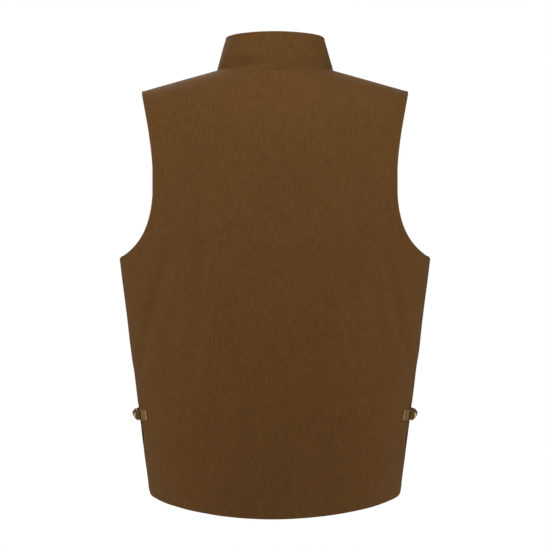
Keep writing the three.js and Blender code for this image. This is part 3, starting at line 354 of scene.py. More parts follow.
# A darker copy of the shell cloth: painted shade for the inside of the vents.
ventShadeLook = dict(
    shellLook, deep=(0.03, 0.013, 0.0035, 1), light=(0.045, 0.02, 0.0055, 1), nap=(0.06, 0.028, 0.009, 1),
)
shellCloth = makeCloth("shellCloth", shellLook)
ventShadeCloth = makeCloth("ventShadeCloth", ventShadeLook)
liningCloth = makeCloth("liningCloth", liningLook)
zipTapeCloth = makeCloth("zipTapeCloth", tapeLook)
tanWebbing = makeCloth("tanWebbing", tanLook)
darkWebbing = makeCloth("darkWebbing", darkLook)


def makeBrass():
    look = {
        "bright": (0.4, 0.265, 0.12, 1), "dull": (0.09, 0.053, 0.024, 1),
        "rubbed": (0.56, 0.4, 0.21, 1), "film": 1.1,
    }
    material, tree, shader = startMaterial("antiqueBrass")
    place = addNode(tree, "ShaderNodeTexCoord").outputs["Object"]
    edge = addNode(tree, "ShaderNodeAttribute", attribute_name="edgeRub").outputs["Fac"]
    aged = useGroup(tree, tarnish, Place=place, Amount=look["film"])
    worn = useGroup(tree, edgeWear, Place=place, Edge=edge, Grain=420.0)["Mask"]
    film = addNode(tree, "ShaderNodeClamp", Value=aged["Film"])
    colour = mixColour(tree, film.outputs[0], look["bright"], look["dull"])
    colour = mixColour(tree, mathNode(tree, "MULTIPLY", worn, 0.85), colour, look["rubbed"])
    tree.links.new(colour, shader.inputs["Base Color"])
    tree.links.new(aged["Rough"], shader.inputs["Roughness"])
    shader.inputs["Metallic"].default_value = 1.0
    bump = addNode(tree, "ShaderNodeBump", Height=aged["Height"], Strength=0.12, Distance=0.00012)
    tree.links.new(bump.outputs[0], shader.inputs["Normal"])
    return material


def makeMouldedTeeth():
    look = {
        "deep": (0.05, 0.03, 0.013, 1), "light": (0.082, 0.052, 0.025, 1), "rubbed": (0.15, 0.1, 0.055, 1),
    }
    material, tree, shader = startMaterial("mouldedTeeth")
    place = addNode(tree, "ShaderNodeTexCoord").outputs["Object"]
    edge = addNode(tree, "ShaderNodeAttribute", attribute_name="edgeRub").outputs["Fac"]
    worn = useGroup(tree, edgeWear, Place=place, Edge=edge, Grain=700.0)["Mask"]
    swirl = addNode(tree, "ShaderNodeTexNoise", Vector=place, Scale=420.0, Detail=4.0, Roughness=0.6)
    colour = mixColour(tree, swirl.outputs[0], look["deep"], look["light"])
    colour = mixColour(tree, mathNode(tree, "MULTIPLY", worn, 0.5), colour, look["rubbed"])
    tree.links.new(colour, shader.inputs["Base Color"])
    rough = mathNode(tree, "MULTIPLY_ADD", swirl.outputs[0], 0.22, 0.3)
    tree.links.new(rough, shader.inputs["Roughness"])
    bump = addNode(tree, "ShaderNodeBump", Height=swirl.outputs[0], Strength=0.18, Distance=0.0002)
    tree.links.new(bump.outputs[0], shader.inputs["Normal"])
    return material


# Twisted sewing thread: the plies show as slanting ridges along each stitch.
def makeThread():
    look = {"deep": (0.07, 0.035, 0.012, 1), "light": (0.16, 0.088, 0.035, 1)}
    material, tree, shader = startMaterial("sewingThread")
    place = addNode(tree, "ShaderNodeTexCoord").outputs["Object"]
    ply = addNode(tree, "ShaderNodeTexWave", Vector=place, Scale=1400.0, Distortion=1.5, Detail=1.0)
    ply.bands_direction = "DIAGONAL"
    fuzz = addNode(tree, "ShaderNodeTexNoise", Vector=place, Scale=1900.0, Detail=3.0)
    shade = mathNode(tree, "MULTIPLY", ply.outputs["Fac"], fuzz.outputs[0])
    tree.links.new(mixColour(tree, shade, look["deep"], look["light"]), shader.inputs["Base Color"])
    tree.links.new(mathNode(tree, "MULTIPLY_ADD", fuzz.outputs[0], 0.3, 0.45), shader.inputs["Roughness"])
    shader.inputs["Sheen Weight"].default_value = 0.15
    bump = addNode(tree, "ShaderNodeBump", Height=ply.outputs["Fac"], Strength=0.4, Distance=0.0001)
    tree.links.new(bump.outputs[0], shader.inputs["Normal"])
    return material


antiqueBrass = makeBrass()
mouldedTeeth = makeMouldedTeeth()
sewingThread = makeThread()


def makePaleFloor():
    material, tree, shader = startMaterial("paleFloor")
    place = addNode(tree, "ShaderNodeTexCoord").outputs["Object"]
    grain = addNode(tree, "ShaderNodeTexNoise", Vector=place, Scale=3.0, Detail=5.0)
    tone = mixColour(tree, grain.outputs[0], (0.8, 0.8, 0.79, 1), (0.86, 0.86, 0.85, 1))
    tree.links.new(tone, shader.inputs["Base Color"])
    shader.inputs["Roughness"].default_value = 0.85
    path = tree.nodes.new("ShaderNodeLightPath")
    tree.links.new(tone, shader.inputs["Emission Color"])
    glow = mathNode(tree, "MULTIPLY", path.outputs["Is Camera Ray"], studio["floorGlow"])
    tree.links.new(glow, shader.inputs["Emission Strength"])
    return material


bpy.ops.object.select_all(action="DESELECT")
bpy.ops.mesh.primitive_plane_add(size=studio["floorSize"], location=(0, 0, studio["floorHeight"]))
studioFloor = bpy.context.object
studioFloor.name = "studioFloor"
studioFloor.data.materials.append(makePaleFloor())


print("body form")

body = {
    "chestHalf": 243.9, "hemHalf": 196.6, "backLength": 687, "sideLength": 664, "frontLength": 668,
    "backDepth": 110, "hemBackDepth": 115, "frontHemDepth": 129, "frontCollarDepth": 84,
    "shoulderHalf": 208.3, "shoulderDrop": 33, "neckHalf": 89.9, "neckBackDepth": 76, "neckFrontDrop": 57,
    "armholeHalf": 186.8, "armholeNarrowZ": -176, "underarmZ": -293.5, "bendZ": -200,
    "bendPower": 5, "closePower": 2.2, "zipFlat": 20, "zipOpening": 9, "tapeEdge": 16.5, "underarmEase": 60,
    "liningTop": 1.1, "shellIn": 1.7, "shellOut": 3.9, "gap": 0.3, "armholeFacing": 16, "hemFacing": 14,
}
bodyHalf = body["chestHalf"] - body["shellOut"]
sideTaper = (body["chestHalf"] - body["hemHalf"]) / (body["sideLength"] + body["underarmZ"])
shoulderSlope = body["shoulderDrop"] / (body["shoulderHalf"] - body["neckHalf"])
collarFrontTop = 10
zipDrop = body["frontLength"] + collarFrontTop
zipTilt = math.atan((body["frontHemDepth"] - body["frontCollarDepth"]) / zipDrop)


def halfWidthAt(z):
    rise = np.minimum(z, body["bendZ"]) - body["underarmZ"]
    ease = body["underarmEase"]
    eased = sideTaper * ease * (1 - np.exp(-np.maximum(rise, 0) / ease))
    return bodyHalf + np.where(rise <= 0, sideTaper * rise, eased)


def shoulderTop(x):
    return -shoulderSlope * (np.maximum(body["zipFlat"], np.abs(x)) - body["neckHalf"]) - body["shellOut"]


def frontLine(z):
    return body["frontCollarDepth"] - body["shellOut"] + (collarFrontTop - z) * math.tan(zipTilt)


def backLine(z):
    share = np.clip((body["bendZ"] - z) / (body["bendZ"] + body["backLength"]), 0, 1)
    return body["backDepth"] - body["shellOut"] + share * (body["hemBackDepth"] - body["backDepth"])


def closedShare(rise):
    return (1 - np.clip(rise, 0, 1) ** body["bendPower"]) ** (1 / body["closePower"])


def frontDepth(z):
    level = np.minimum(z, -body["neckFrontDrop"] / 2)
    rise = (level - body["bendZ"]) / (shoulderTop(0) - body["bendZ"])
    return frontLine(z) / closedShare(rise)


def roundShare(x, half, flat):
    across = np.clip((np.abs(x) - flat) / (half - flat), 0, 1)
    return np.sqrt(1 - across**2)


# A place on the form. A turn below 0 is millimetres under the shoulder bend, and above 0 it is the
# angle by which the shoulder has closed over, up to a quarter turn at the seam.
def formPlace(x, turn, lift, side):
    low = body["bendZ"] + np.minimum(turn, 0)
    half = halfWidthAt(low)
    flat = body["zipFlat"]
    size = np.abs(x)
    base = np.where(size <= flat, size, flat + (size - flat) * (half - flat) / (half + lift - flat))
    share = np.cos(np.maximum(turn, 0))
    rise = (1 - np.clip(share, 0, 1) ** body["closePower"]) ** (1 / body["bendPower"])
    level = low + (shoulderTop(base) - body["bendZ"]) * rise
    depth = backLine(level) if side > 0 else frontDepth(level)
    y = side * (depth + lift) * roundShare(base, half, 0 if side > 0 else flat) * share
    return np.stack([x, y, level + lift * rise], axis=-1)


# The turn of the form at a height, for a place given by its X and Z.
def turnAt(x, z, lift):
    rise = (z - body["bendZ"]) / (shoulderTop(x) - body["bendZ"] + lift)
    high = np.arccos(np.clip(closedShare(np.maximum(rise, 0)), 0, 1))
    return np.where(z <= body["bendZ"], z - body["bendZ"], high)


def bezier(start, control1, control2, end, steps):
    t = np.linspace(0, 1, steps + 1)[:, None]
    a, b, c, d = (np.array(p, float) for p in (start, control1, control2, end))
    return a * (1 - t) ** 3 + 3 * b * t * (1 - t) ** 2 + 3 * c * t * t * (1 - t) + d * t**3


def armholeLine(inset, steps=60):
    tip = (body["shoulderHalf"] - inset, -body["shoulderDrop"])
    narrow = (body["armholeHalf"] - inset, body["armholeNarrowZ"])
    underarm = body["underarmZ"] - inset
    upper = bezier(tip, (tip[0] - 7.3, tip[1] - 29), (narrow[0], narrow[1] + 56), narrow, steps)
    lower = bezier(
        narrow, (narrow[0], narrow[1] - 46 - inset / 2), (narrow[0] + 7.2, underarm + 23.5),
        (body["chestHalf"] - 0.5, underarm), steps,
    )
    return np.vstack([upper, lower[1:]])


def hemLine(length, inset, edgeX):
    cloth = body["hemHalf"]
    corner = -body["sideLength"] + inset
    middle = -length + inset
    turned = bezier(
        (cloth, corner + 9), (cloth - 1.4, corner + 3), (cloth - 3, corner + 0.5), (cloth - 9, corner - 0.6),
        12,
    )
    sweep = bezier(turned[-1], (cloth - 47, corner - 11), (80, middle), (edgeX, middle), 60)
    return np.vstack([turned, sweep[1:]])[::-1]


# Side vents that the adjusters pull open.
vent = {"top": -546, "bottom": -592, "depth": 6.4, "sunk": 2.2, "roll": 6.5, "rollHeight": 1.3}


def ventNotch(z, widen=0.0):
    share = np.clip((vent["top"] - z) / (vent["top"] - vent["bottom"]), 0, 1)
    return (vent["depth"] + widen) * np.sin(math.pi * share) ** 0.55


print("folds")

# Each crease: start, end, depth and half width on the back. Positive X is the wearer's left.
backCreases = [
    ((160, -262), (209, -470), 3.4, 8),
    ((-160, -262), (-211, -465), 3.4, 8),
    ((108, -195), (119, -470), 1.7, 9),
    ((-116, -195), (-118, -455), 1.5, 9),
    ((92, -54), (-62, -57), 0.9, 6),
    ((36, -455), (34, -690), 1.0, 8),
    ((-12, -455), (-13, -690), 0.9, 6),
    ((-58, -330), (-64, -690), 2.4, 26),
    ((84, -405), (88, -600), 1.3, 14),
    ((-20, -330), (-14, -420), -0.6, 5),
    ((132, -560), (120, -690), 0.9, 12),
    ((-136, -570), (-128, -690), 0.9, 12),
    ((150, -300), (60, -345), 0.7, 7),
    ((-150, -330), (-70, -372), 0.7, 7),
]
frontCreases = [
    ((168, -262), (214, -400), 1.6, 9),
    ((-168, -262), (-214, -400), 1.6, 9),
    ((60, -345), (120, -408), 0.9, 8),
    ((-66, -345), (-126, -402), 0.9, 8),
    ((40, -110), (60, -205), 0.7, 9),
    ((-44, -100), (-62, -205), 0.7, 9),
]
# Each set of ripples: height, wavelength, how many waves, how far they turn from upright, and its seed.
rippleSets = {
    "lowerDrape": (0.3, 46, 9, 0.12, 3), "broad": (0.22, 85, 9, 0.9, 5), "upper": (0.1, 30, 9, 1.2, 8),
    "crumple": (0.085, 13, 14, 0.8, 21), "collar": (0.16, 24, 8, 0.4, 31),
    "pocket": (0.12, 17, 12, 1.0, 41), "pocketSag": (0.3, 48, 8, 0.8, 43), "flap": (0.1, 19, 10, 1.0, 51),
}
# The lower back sinks in a little to the wearer's right, and the cloth is drawn in above and below the tabs.
lowerSweep = {"from": -330, "over": 330, "depth": 6.0, "power": 1.2, "centre": -38, "width": 88}
tabTucks = [
    {"height": -524, "depth": 1.7, "width": 2.3, "start": 194},
    {"height": -551, "depth": 1.5, "width": 2.0, "start": 200},
]


def crease(x, z, start, end, depth, width):
    (x0, z0), (x1, z1) = start, end
    long = math.hypot(x1 - x0, z1 - z0)
    ux, uz = (x1 - x0) / long, (z1 - z0) / long
    along = ((x - x0) * ux + (z - z0) * uz) / long
    wander = 2.2 * np.sin(along * 7.0 + x0) + 1.1 * np.sin(along * 17.0 + z0)
    off = (x - x0) * uz - (z - z0) * ux + wander
    fade = np.sin(math.pi * np.clip(along, 0, 1)) ** 0.6
    valley = -np.exp(-((off / width) ** 2))
    banks = 0.45 * np.exp(-(((np.abs(off) - 2.1 * width) / (1.3 * width)) ** 2))
    return depth * fade * (valley + banks)


def ripples(x, z, kind):
    height, wavelength, count, upright, seed = rippleSets[kind]
    dice = np.random.default_rng(seed)
    total = np.zeros_like(x)
    for _ in range(count):
        angle = dice.normal(0, upright)
        step = 2 * math.pi / (wavelength * dice.uniform(0.7, 1.5))
        total += np.sin(step * (x * math.cos(angle) + z * math.sin(angle)) + dice.uniform(0, 6.28))
    return height * total / math.sqrt(count)


def windowed(value, low, high, soft):
    up = np.clip((value - low) / soft, 0, 1)
    down = np.clip((high - value) / soft, 0, 1)
    return up * up * (3 - 2 * up) * down * down * (3 - 2 * down)


# How far the cloth stands off its form. All layers of one side move together.
def foldLift(x, z, side):
    size = np.abs(x)
    lift = np.zeros_like(x)
    for start, end, depth, width in backCreases if side > 0 else frontCreases:
        lift += crease(x, z, start, end, depth, width)
    lower = np.clip((lowerSweep["from"] - z) / lowerSweep["over"], 0, 1)
    if side > 0:
        across = np.exp(-(((x - lowerSweep["centre"]) / lowerSweep["width"]) ** 2))
        lift -= lowerSweep["depth"] * lower ** lowerSweep["power"] * across
    upper = np.clip((z - lowerSweep["from"]) / 250, 0, 1)
    crumple = windowed(x, -120, 10, 40) * windowed(z, -640, -330, 80) + 0.35
    for share, kind in ((lower, "lowerDrape"), (1.0, "broad"), (upper, "upper"), (crumple, "crumple")):
        lift += share * ripples(x, z, kind)
    calm = np.clip(np.hypot((size - 214) / 34, (z + 537) / 26) - 0.6, 0, 1)
    if side < 0:
        zipSide = np.clip((size - 24) / 30, 0, 1)
        chest = 1 - windowed(size, 48, 172, 10) * windowed(z, -346, -196, 10)
        low = 1 - windowed(size, 30, 176, 10) * windowed(z, -622, -402, 10)
        ring = np.clip(np.hypot((x - 118) / 26, (z + 142) / 34) - 0.6, 0, 1)
        strap = 1 - windowed(size, 168, 260, 10) * windowed(z, -556, -518, 8)
        calm = calm * zipSide * chest * low * ring * strap
    nearSeam = np.clip((-36 - z + 0.28 * (size - 208)) / 30, 0, 1)
    neck = np.clip((size / 90 - 1) * 3, 0, 1) if side > 0 else 0
    lift = lift * calm * np.maximum(np.clip(nearSeam, 0.15, 1), 0.15 * neck)
    for tuck in tabTucks if side > 0 else []:
        groove = np.exp(-(((z - tuck["height"]) / tuck["width"]) ** 2))
        lift -= tuck["depth"] * groove * windowed(size, tuck["start"], 240, 8)
    return lift


print("sheet tools")


def unit(vectors):
    return vectors / np.maximum(np.linalg.norm(vectors, axis=-1, keepdims=True), 1e-9)


def gridNormals(grid, outward=None):
    across = np.gradient(grid, axis=1)
    along = np.gradient(grid, axis=0)
    normals = unit(np.cross(across, along))
    centre = np.array([0.0, 0.0, 0.0]) if outward is None else np.array(outward, float)
    away = grid - centre
    if outward is None:
        away = away * np.array([1, 1, 0])
    if (normals * away).sum() < 0:
        normals = -normals
    return normals


def arcs(grid, axis):
    steps = np.linalg.norm(np.diff(grid, axis=axis), axis=-1)
    pad = [(1, 0), (0, 0)] if axis == 0 else [(0, 0), (1, 0)]
    return np.cumsum(np.pad(steps, pad), axis=axis)


def lineArcs(line):
    return np.concatenate([[0], np.cumsum(np.linalg.norm(np.diff(line, axis=0), axis=1))])


# How far each place of a grid lies from each of its four edges.
def edgeReach(grid):
    along, across = arcs(grid, 0), arcs(grid, 1)
    return {"south": along, "north": along[-1:] - along, "west": across, "east": across[:, -1:] - across}


def interpolated(at, steps, line):
    return np.array([np.interp(at, steps, line[:, axis]) for axis in range(3)])


# The faces of a closed sheet whose under side repeats its outer places, all turned outwards.
def closedFaces(rows, columns, points, ring=False):
    count = rows * columns
    index = np.arange(count).reshape(rows, columns)
    if ring:
        index = np.vstack([index, index[:1]])
    a, b, c, d = index[:-1, :-1], index[:-1, 1:], index[1:, 1:], index[1:, :-1]
    faces = [
        np.stack([a, b, c, d], axis=-1).reshape(-1, 4),
        np.stack([d, c, b, a], axis=-1).reshape(-1, 4) + count,
    ]
    rims = [(index[:, 0], 1), (index[:, -1], -1)]
    if not ring:
        rims += [(index[0], -1), (index[-1], 1)]
    for line, way in rims:
        line = line[::way]
        faces.append(np.stack([line[:-1], line[1:], line[1:] + count, line[:-1] + count], axis=-1))
    faces = np.vstack(faces)
    corners = points[faces]
    volume = np.einsum("ij,ij->", corners[:, 0], np.cross(corners[:, 1], corners[:, 2]))
    volume += np.einsum("ij,ij->", corners[:, 0], np.cross(corners[:, 2], corners[:, 3]))
    return (faces[:, ::-1] if volume < 0 else faces).tolist()


def meshFrom(name, points, faces, flat=None, rub=None):
    mesh = bpy.data.meshes.new(name)
    mesh.from_pydata([tuple(p) for p in points], [], faces)
    if flat is not None:
        layer = mesh.uv_layers.new(name="flatCut")
        index = np.empty(len(mesh.loops), np.int32)
        mesh.loops.foreach_get("vertex_index", index)
        layer.data.foreach_set("uv", flat[index].astype(np.float32).ravel())
    if rub is not None:
        layer = mesh.attributes.new("edgeRub", "FLOAT", "POINT")
        layer.data.foreach_set("value", rub.astype(np.float32))
    mesh.polygons.foreach_set("use_smooth", [True] * len(mesh.polygons))
    mesh.update()
    piece = bpy.data.objects.new(name, mesh)
    scene.collection.objects.link(piece)
    return piece


allEdges = "west east south north"


# A closed sheet of even thickness under a grid of outer places, in millimetres. Edges named in
# "rounded" are turned over softly; the others are left square.
def makeSheet(name, grid, thickness, lift=None, rounded="", soft=1.1, outward=None, ring=False, rubbed=None):
    normals = gridNormals(grid, outward)
    if lift is not None:
        grid = grid + normals * lift[..., None]
        normals = gridNormals(grid, outward)
    rows, columns = grid.shape[:2]
    reach = edgeReach(grid)
    along, across = reach["south"], reach["west"]
    plump = np.ones((rows, columns))
    rub = np.zeros((rows, columns))
    for edge, distance in reach.items():
        if edge in rounded:
            plump *= np.sqrt(np.clip(1 - (1 - np.minimum(distance / soft, 1)) ** 2, 0.09, 1))
            rub = np.maximum(rub, np.exp(-distance / 1.4))
    if rubbed is not None:
        rub = np.maximum(rub, rubbed)
    half = thickness / 2
    middle = grid - normals * half
    outer = middle + normals * (half * plump)[..., None]
    inner = middle - normals * (half * plump)[..., None]
    points = np.vstack([outer.reshape(-1, 3), inner.reshape(-1, 3)]) * mm
    flat = np.stack([across - across[:, columns // 2][:, None], along], axis=-1).reshape(-1, 2) * mm
    flat = np.vstack([flat, flat])
    rubs = np.concatenate([rub.ravel(), rub.ravel()])
    piece = meshFrom(name, points, closedFaces(rows, columns, points, ring), flat, rubs)
    cut = np.linalg.norm(np.cross(grid[1:, :-1] - grid[:-1, :-1], grid[:-1, 1:] - grid[:-1, :-1]), axis=-1)
    return {
        "piece": piece, "outer": outer, "normals": normals, "reach": reach,
        "size": (float(across[:, -1].max()) * mm, float(along[-1].max()) * mm),
        "area": float(cut.sum()) * mm * mm,
    }


def dress(piece, bodyName, material, nodes=()):
    piece.data.materials.clear()
    piece.data.materials.append(material)
    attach(piece, bodyName)
    if nodes:
        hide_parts(*nodes)


# The line that runs on a sheet at one distance from one of its edges, with its normals.
def lineAlong(sheet, edge, distance, first=0, last=None):
    outer, normals, reach = sheet["outer"], sheet["normals"], sheet["reach"][edge]
    if edge in ("south", "north"):
        outer, normals, reach = outer.transpose(1, 0, 2), normals.transpose(1, 0, 2), reach.T
    places, faces = [], []
    for k in range(len(outer))[first:last]:
        order = np.argsort(reach[k])
        places.append(interpolated(distance, reach[k][order], outer[k][order]))
        faces.append(interpolated(distance, reach[k][order], normals[k][order]))
    return np.array(places), unit(np.array(faces))


def pick(*pieces):
    bpy.ops.object.select_all(action="DESELECT")
    for piece in pieces:
        piece.select_set(True)
    bpy.context.view_layer.objects.active = pieces[0]


def editWhole():
    bpy.ops.object.mode_set(mode="EDIT")
    bpy.ops.mesh.select_all(action="SELECT")


def leaveEditing():
    bpy.ops.object.mode_set(mode="OBJECT")


def meshLists(piece):
    points = np.array([vertex.co[:] for vertex in piece.data.vertices])
    faces = [list(face.vertices) for face in piece.data.polygons]
    bpy.data.objects.remove(piece)
    return points, faces


print("one stitch")

stitch = {"length": 2.5, "pitch": 3.5, "radius": 0.34, "sink": 0.1, "dive": 0.42}


# One stitch lies along X with Z out of the cloth, and its two ends dive into it.
def modelStitch():
    bpy.ops.object.select_all(action="DESELECT")
    bpy.ops.mesh.primitive_uv_sphere_add(segments=6, ring_count=5, radius=1, rotation=(0, math.pi / 2, 0))
    seed = bpy.context.object
    bpy.ops.object.transform_apply(rotation=True)
    editWhole()
    bpy.ops.transform.resize(value=(stitch["length"] / 2, stitch["radius"], stitch["radius"] * 0.85))
    leaveEditing()
    for vertex in seed.data.vertices:
        vertex.co.z -= stitch["dive"] * (abs(vertex.co.x) / (stitch["length"] / 2)) ** 2.2
    return meshLists(seed)


stitchPoints, stitchFaces = modelStitch()
stitchBudget = {"made": 0}


# Rows of stitches laid along lines on the cloth, as one piece.
def sewRows(name, lines, bodyName="vest"):
    allPoints, allFaces = [], []
    for places, normals in lines:
        steps = lineArcs(places)
        count = int(steps[-1] / stitch["pitch"])
        for k in range(count):
            at = (k + 0.5) * steps[-1] / count
            centre, ahead, behind = (interpolated(at + step, steps, places) for step in (0, 0.8, -0.8))
            out = unit(interpolated(at, steps, normals))
            along = unit(ahead - behind)
            aside = unit(np.cross(out, along))
            out = np.cross(along, aside)
            base = centre - out * stitch["sink"]
            offset = len(allPoints) * len(stitchPoints)
            turned = stitchPoints @ np.stack([along, aside, out])
            allPoints.append(turned + base)
            allFaces += [[v + offset for v in face] for face in stitchFaces]
    stitchBudget["made"] += len(allPoints)
    points = np.vstack(allPoints) * mm
    piece = meshFrom(name, points, allFaces)
    dress(piece, bodyName, sewingThread)
    return piece


print("panels")

edgeSteps = [0, 0.3, 0.7, 1.2, 2.0, 3.2, 4.4, 5.2, 6.0, 6.8, 7.8, 10, 13]
hemSteps = [0, 0.3, 0.7, 1.2, 2.0, 3.2, 5, 7.5, 9.6, 11.2, 12.0, 12.8, 14.4, 17, 20.5, 25, 30]


def makePlan(side, startX, inset, hemInset, length, notched):
    return {
        "side": side, "startX": startX, "notched": notched,
        "armhole": armholeLine(inset), "hem": hemLine(length, hemInset, startX),
    }


def panelEdge(plan, z, lift):
    line = plan["armhole"][::-1]
    edge = np.interp(z, line[:, 1], line[:, 0], left=1e4)
    side = halfWidthAt(z) + lift
    if plan["notched"]:
        side = side - ventNotch(z)
    return np.minimum(edge, side)


def closingPlaces(plan, lift, turn, share):
    x = plan["startX"] + share * (180 - plan["startX"])
    for _ in range(7):
        place = formPlace(x, turn, lift, plan["side"])
        x = plan["startX"] + share * (panelEdge(plan, place[..., 2], lift) - plan["startX"])
    return formPlace(x, turn, lift, plan["side"])


# How far each part of the panel closes over: to the shoulder seam, or only to the neck seam.
def lastTurns(plan, lift, share):
    low, high = np.zeros_like(share), np.full_like(share, math.pi / 2)
    middleLift = (body["shellIn"] + body["shellOut"]) / 2
    if plan["side"] > 0:
        flat, depth = 0, body["neckBackDepth"]
    else:
        flat, depth = body["zipFlat"], frontLine(-body["neckFrontDrop"]) + middleLift
    for _ in range(30):
        middle = (low + high) / 2
        place = closingPlaces(plan, lift, middle, share)
        across = np.clip((np.abs(place[..., 0]) - flat) / (body["neckHalf"] - flat), 0, 1)
        wanted = depth * np.sqrt(1 - across**2)
        outside = np.abs(place[..., 1]) > wanted + (lift - middleLift) * (1 - across)
        low, high = np.where(outside, middle, low), np.where(outside, high, middle)
    return high


def hemHeights(plan, share):
    line = plan["hem"]
    height = np.full_like(share, -665.0)
    for _ in range(8):
        side = halfWidthAt(height) + 3
        x = plan["startX"] + share * (side - plan["startX"])
        height = np.interp(x, line[:, 0], line[:, 1])
    return height


def panelGrid(plan, lift, step=3.6):
    table = np.sin(np.linspace(0, math.pi / 2, 260))
    turns, hems = lastTurns(plan, lift, table), hemHeights(plan, table)
    rows = [("low", -655 + d) for d in hemSteps]
    rows += [("low", z) for z in np.arange(-620, -300, step)]
    rows += [("low", z) for z in np.arange(-299, -264, 1.6)]
    rows += [("low", z) for z in np.arange(-262, -201, step)]
    closing = np.concatenate([np.linspace(0, 0.93, 44), [0.945, 0.958, 0.97, 0.98, 0.988, 0.994, 0.998, 1.0]])
    rows += [("high", q) for q in closing]

    def rowPlaces(row, share):
        kind, value = row
        if kind == "high":
            return closingPlaces(plan, lift, value * np.interp(share, table, turns), share)
        blend = np.clip((-600 - value) / 55, 0, 1)
        z = value + blend * (np.interp(share, table, hems) + 655)
        x = plan["startX"] + share * (panelEdge(plan, z, lift) - plan["startX"])
        return formPlace(x, z - body["bendZ"], lift, plan["side"])

    longest = 290
    inward = np.array(edgeSteps)
    spread = np.linspace(0, 1, int((longest - inward[-1]) / step) + 1)[1:]
    grid = []
    for row in rows:
        line = rowPlaces(row, table)
        arc = lineArcs(line)
        near = inward * min(1, arc[-1] / 60)
        fromEdge = np.concatenate([near, near[-1] + spread * (arc[-1] - near[-1])])
        share = np.interp(arc[-1] - fromEdge[::-1], arc, table)
        share[0], share[-1] = 0, 1
        grid.append(rowPlaces(row, share))
    return np.array(grid)


def bothHalves(grid):
    return np.concatenate([(grid * np.array([-1, 1, 1]))[:, ::-1], grid[:, 1:]], axis=1)


def groove(distance, at, depth, width=0.9):
    return -depth * np.exp(-(((distance - at) / width) ** 2))


def swell(distance, start, end, height):
    share = np.clip((distance - start) / (end - start), 0, 1)
    return height * np.sin(math.pi * share) ** 0.8


# 0 below the underarm, and 1 where the side edge is the armhole.
def armholeShare(grid):
    return np.clip((grid[..., 2] + 296) / 8, 0, 1)


# The topstitched edges: a low roll between the fold and the stitches, and a furrow under them.
def stitchedEdges(grid, seams):
    reach = edgeReach(grid)
    lift = np.zeros(grid.shape[:2])
    above = armholeShare(grid)
    for edge, kind, at, depth in seams:
        distance = reach[edge]
        gate = {"armhole": above, "side": 1 - above}.get(kind, 1.0)
        lift += gate * (groove(distance, at, depth) + swell(distance, 0.5, at - 0.5, depth * 0.9))
    return lift


def puckers(distance, along, reachOut, height, wavelength=11):
    wave = np.sin(2 * math.pi * along / wavelength + 1.3 * np.sin(along / 23.0))
    return height * wave * np.exp(-((distance / reachOut) ** 2))


def dressPanel(name, plan, lift, thickness, material, node, seams, mirror=False, whole=False):
    grid = panelGrid(plan, lift)
    if whole:
        grid = bothHalves(grid)
    if mirror:
        grid = grid * np.array([-1, 1, 1])
    raised = foldLift(grid[..., 0], grid[..., 2], plan["side"])
    raised = raised + stitchedEdges(grid, seams)
    reach = edgeReach(grid)
    if thickness > 1.5:
        raised += puckers(reach["south"], reach["west"], 16, 0.16)
        raised += armholeShare(grid) * puckers(reach["east"], reach["south"], 12, 0.14, 9)
    rubbed = None
    if plan["notched"]:
        beside = np.minimum(reach["west"], reach["east"])
        roll = windowed(grid[..., 2], vent["bottom"] + 1, vent["top"] - 1, 5) * (beside < vent["roll"])
        roll = roll * np.sin(math.pi * np.clip(beside / vent["roll"], 0, 1)) ** 0.7
        raised += vent["rollHeight"] * roll
        # The roll's rub paints edge wear and a highlight on the fold beside the vent.
        rubbed = 1.7 * roll
    sheet = makeSheet(name, grid, thickness, raised, allEdges, soft=thickness / 2, rubbed=rubbed)
    dress(sheet["piece"], "vest", material, [node])
    return sheet


shellThick = body["shellOut"] - body["shellIn"]
backPlan = makePlan(1, 0, 0, 0, body["backLength"], True)
backSeams = [
    ("east", "armhole", 6, 0.32), ("west", "armhole", 6, 0.32), ("east", "side", 2, 0.25),
    ("west", "side", 2, 0.25), ("south", "hem", 12, 0.3), ("north", "neck", 2.2, 0.22),
]
backPanel = dressPanel(
    "backPanelCloth", backPlan, body["shellOut"], shellThick, shellCloth, "back_panel",
    backSeams, whole=True,
)


# The stretch of a side edge above the underarm, as row numbers of the sheet.
def armholeRows(sheet, column):
    height = sheet["outer"][:, column, 2]
    return int(np.argmax(height > -291))


firstRow = armholeRows(backPanel, -1)
backStitches = [
    sewRows("backArmholeStitches", [
        lineAlong(backPanel, "east", 6, firstRow), lineAlong(backPanel, "west", 6, firstRow),
    ]),
    sewRows("backHemStitches", [lineAlong(backPanel, "south", 12, 4, -4)]),
    sewRows("backNeckStitches", [lineAlong(backPanel, "north", 2.2, 3, -3)]),
    sewRows("backSideStitches", [
        lineAlong(backPanel, "east", 2, 14, firstRow), lineAlong(backPanel, "west", 2, 14, firstRow),
    ]),
]

frontPlan = makePlan(-1, body["zipOpening"], 0, 0, body["frontLength"], False)
frontSeams = [
    ("east", "armhole", 6, 0.32), ("east", "side", 2, 0.25), ("south", "hem", 12, 0.3),
    ("west", "zip", 5, 0.32), ("north", "neck", 2.2, 0.22),
]
for word, flip in sides:
    front = dressPanel(
        word + "FrontCloth", frontPlan, body["shellOut"], shellThick, shellCloth,
        word + "_front_panel", frontSeams, mirror=flip < 0,
    )
    firstRow = armholeRows(front, -1)
    rows = [
        sewRows(word + "FrontArmholeStitches", [lineAlong(front, "east", 6, firstRow)]),
        sewRows(word + "FrontHemStitches", [lineAlong(front, "south", 12, 3, -3)]),
        sewRows(word + "FrontZipStitches", [lineAlong(front, "west", at, 4, -3) for at in (5, 1.6)]),
        sewRows(word + "FrontSideStitches", [lineAlong(front, "east", 2, 14, firstRow)]),
        sewRows(word + "FrontNeckStitches", [lineAlong(front, "north", 2.2, 3, -3)]),
    ]


print("linings and facings")

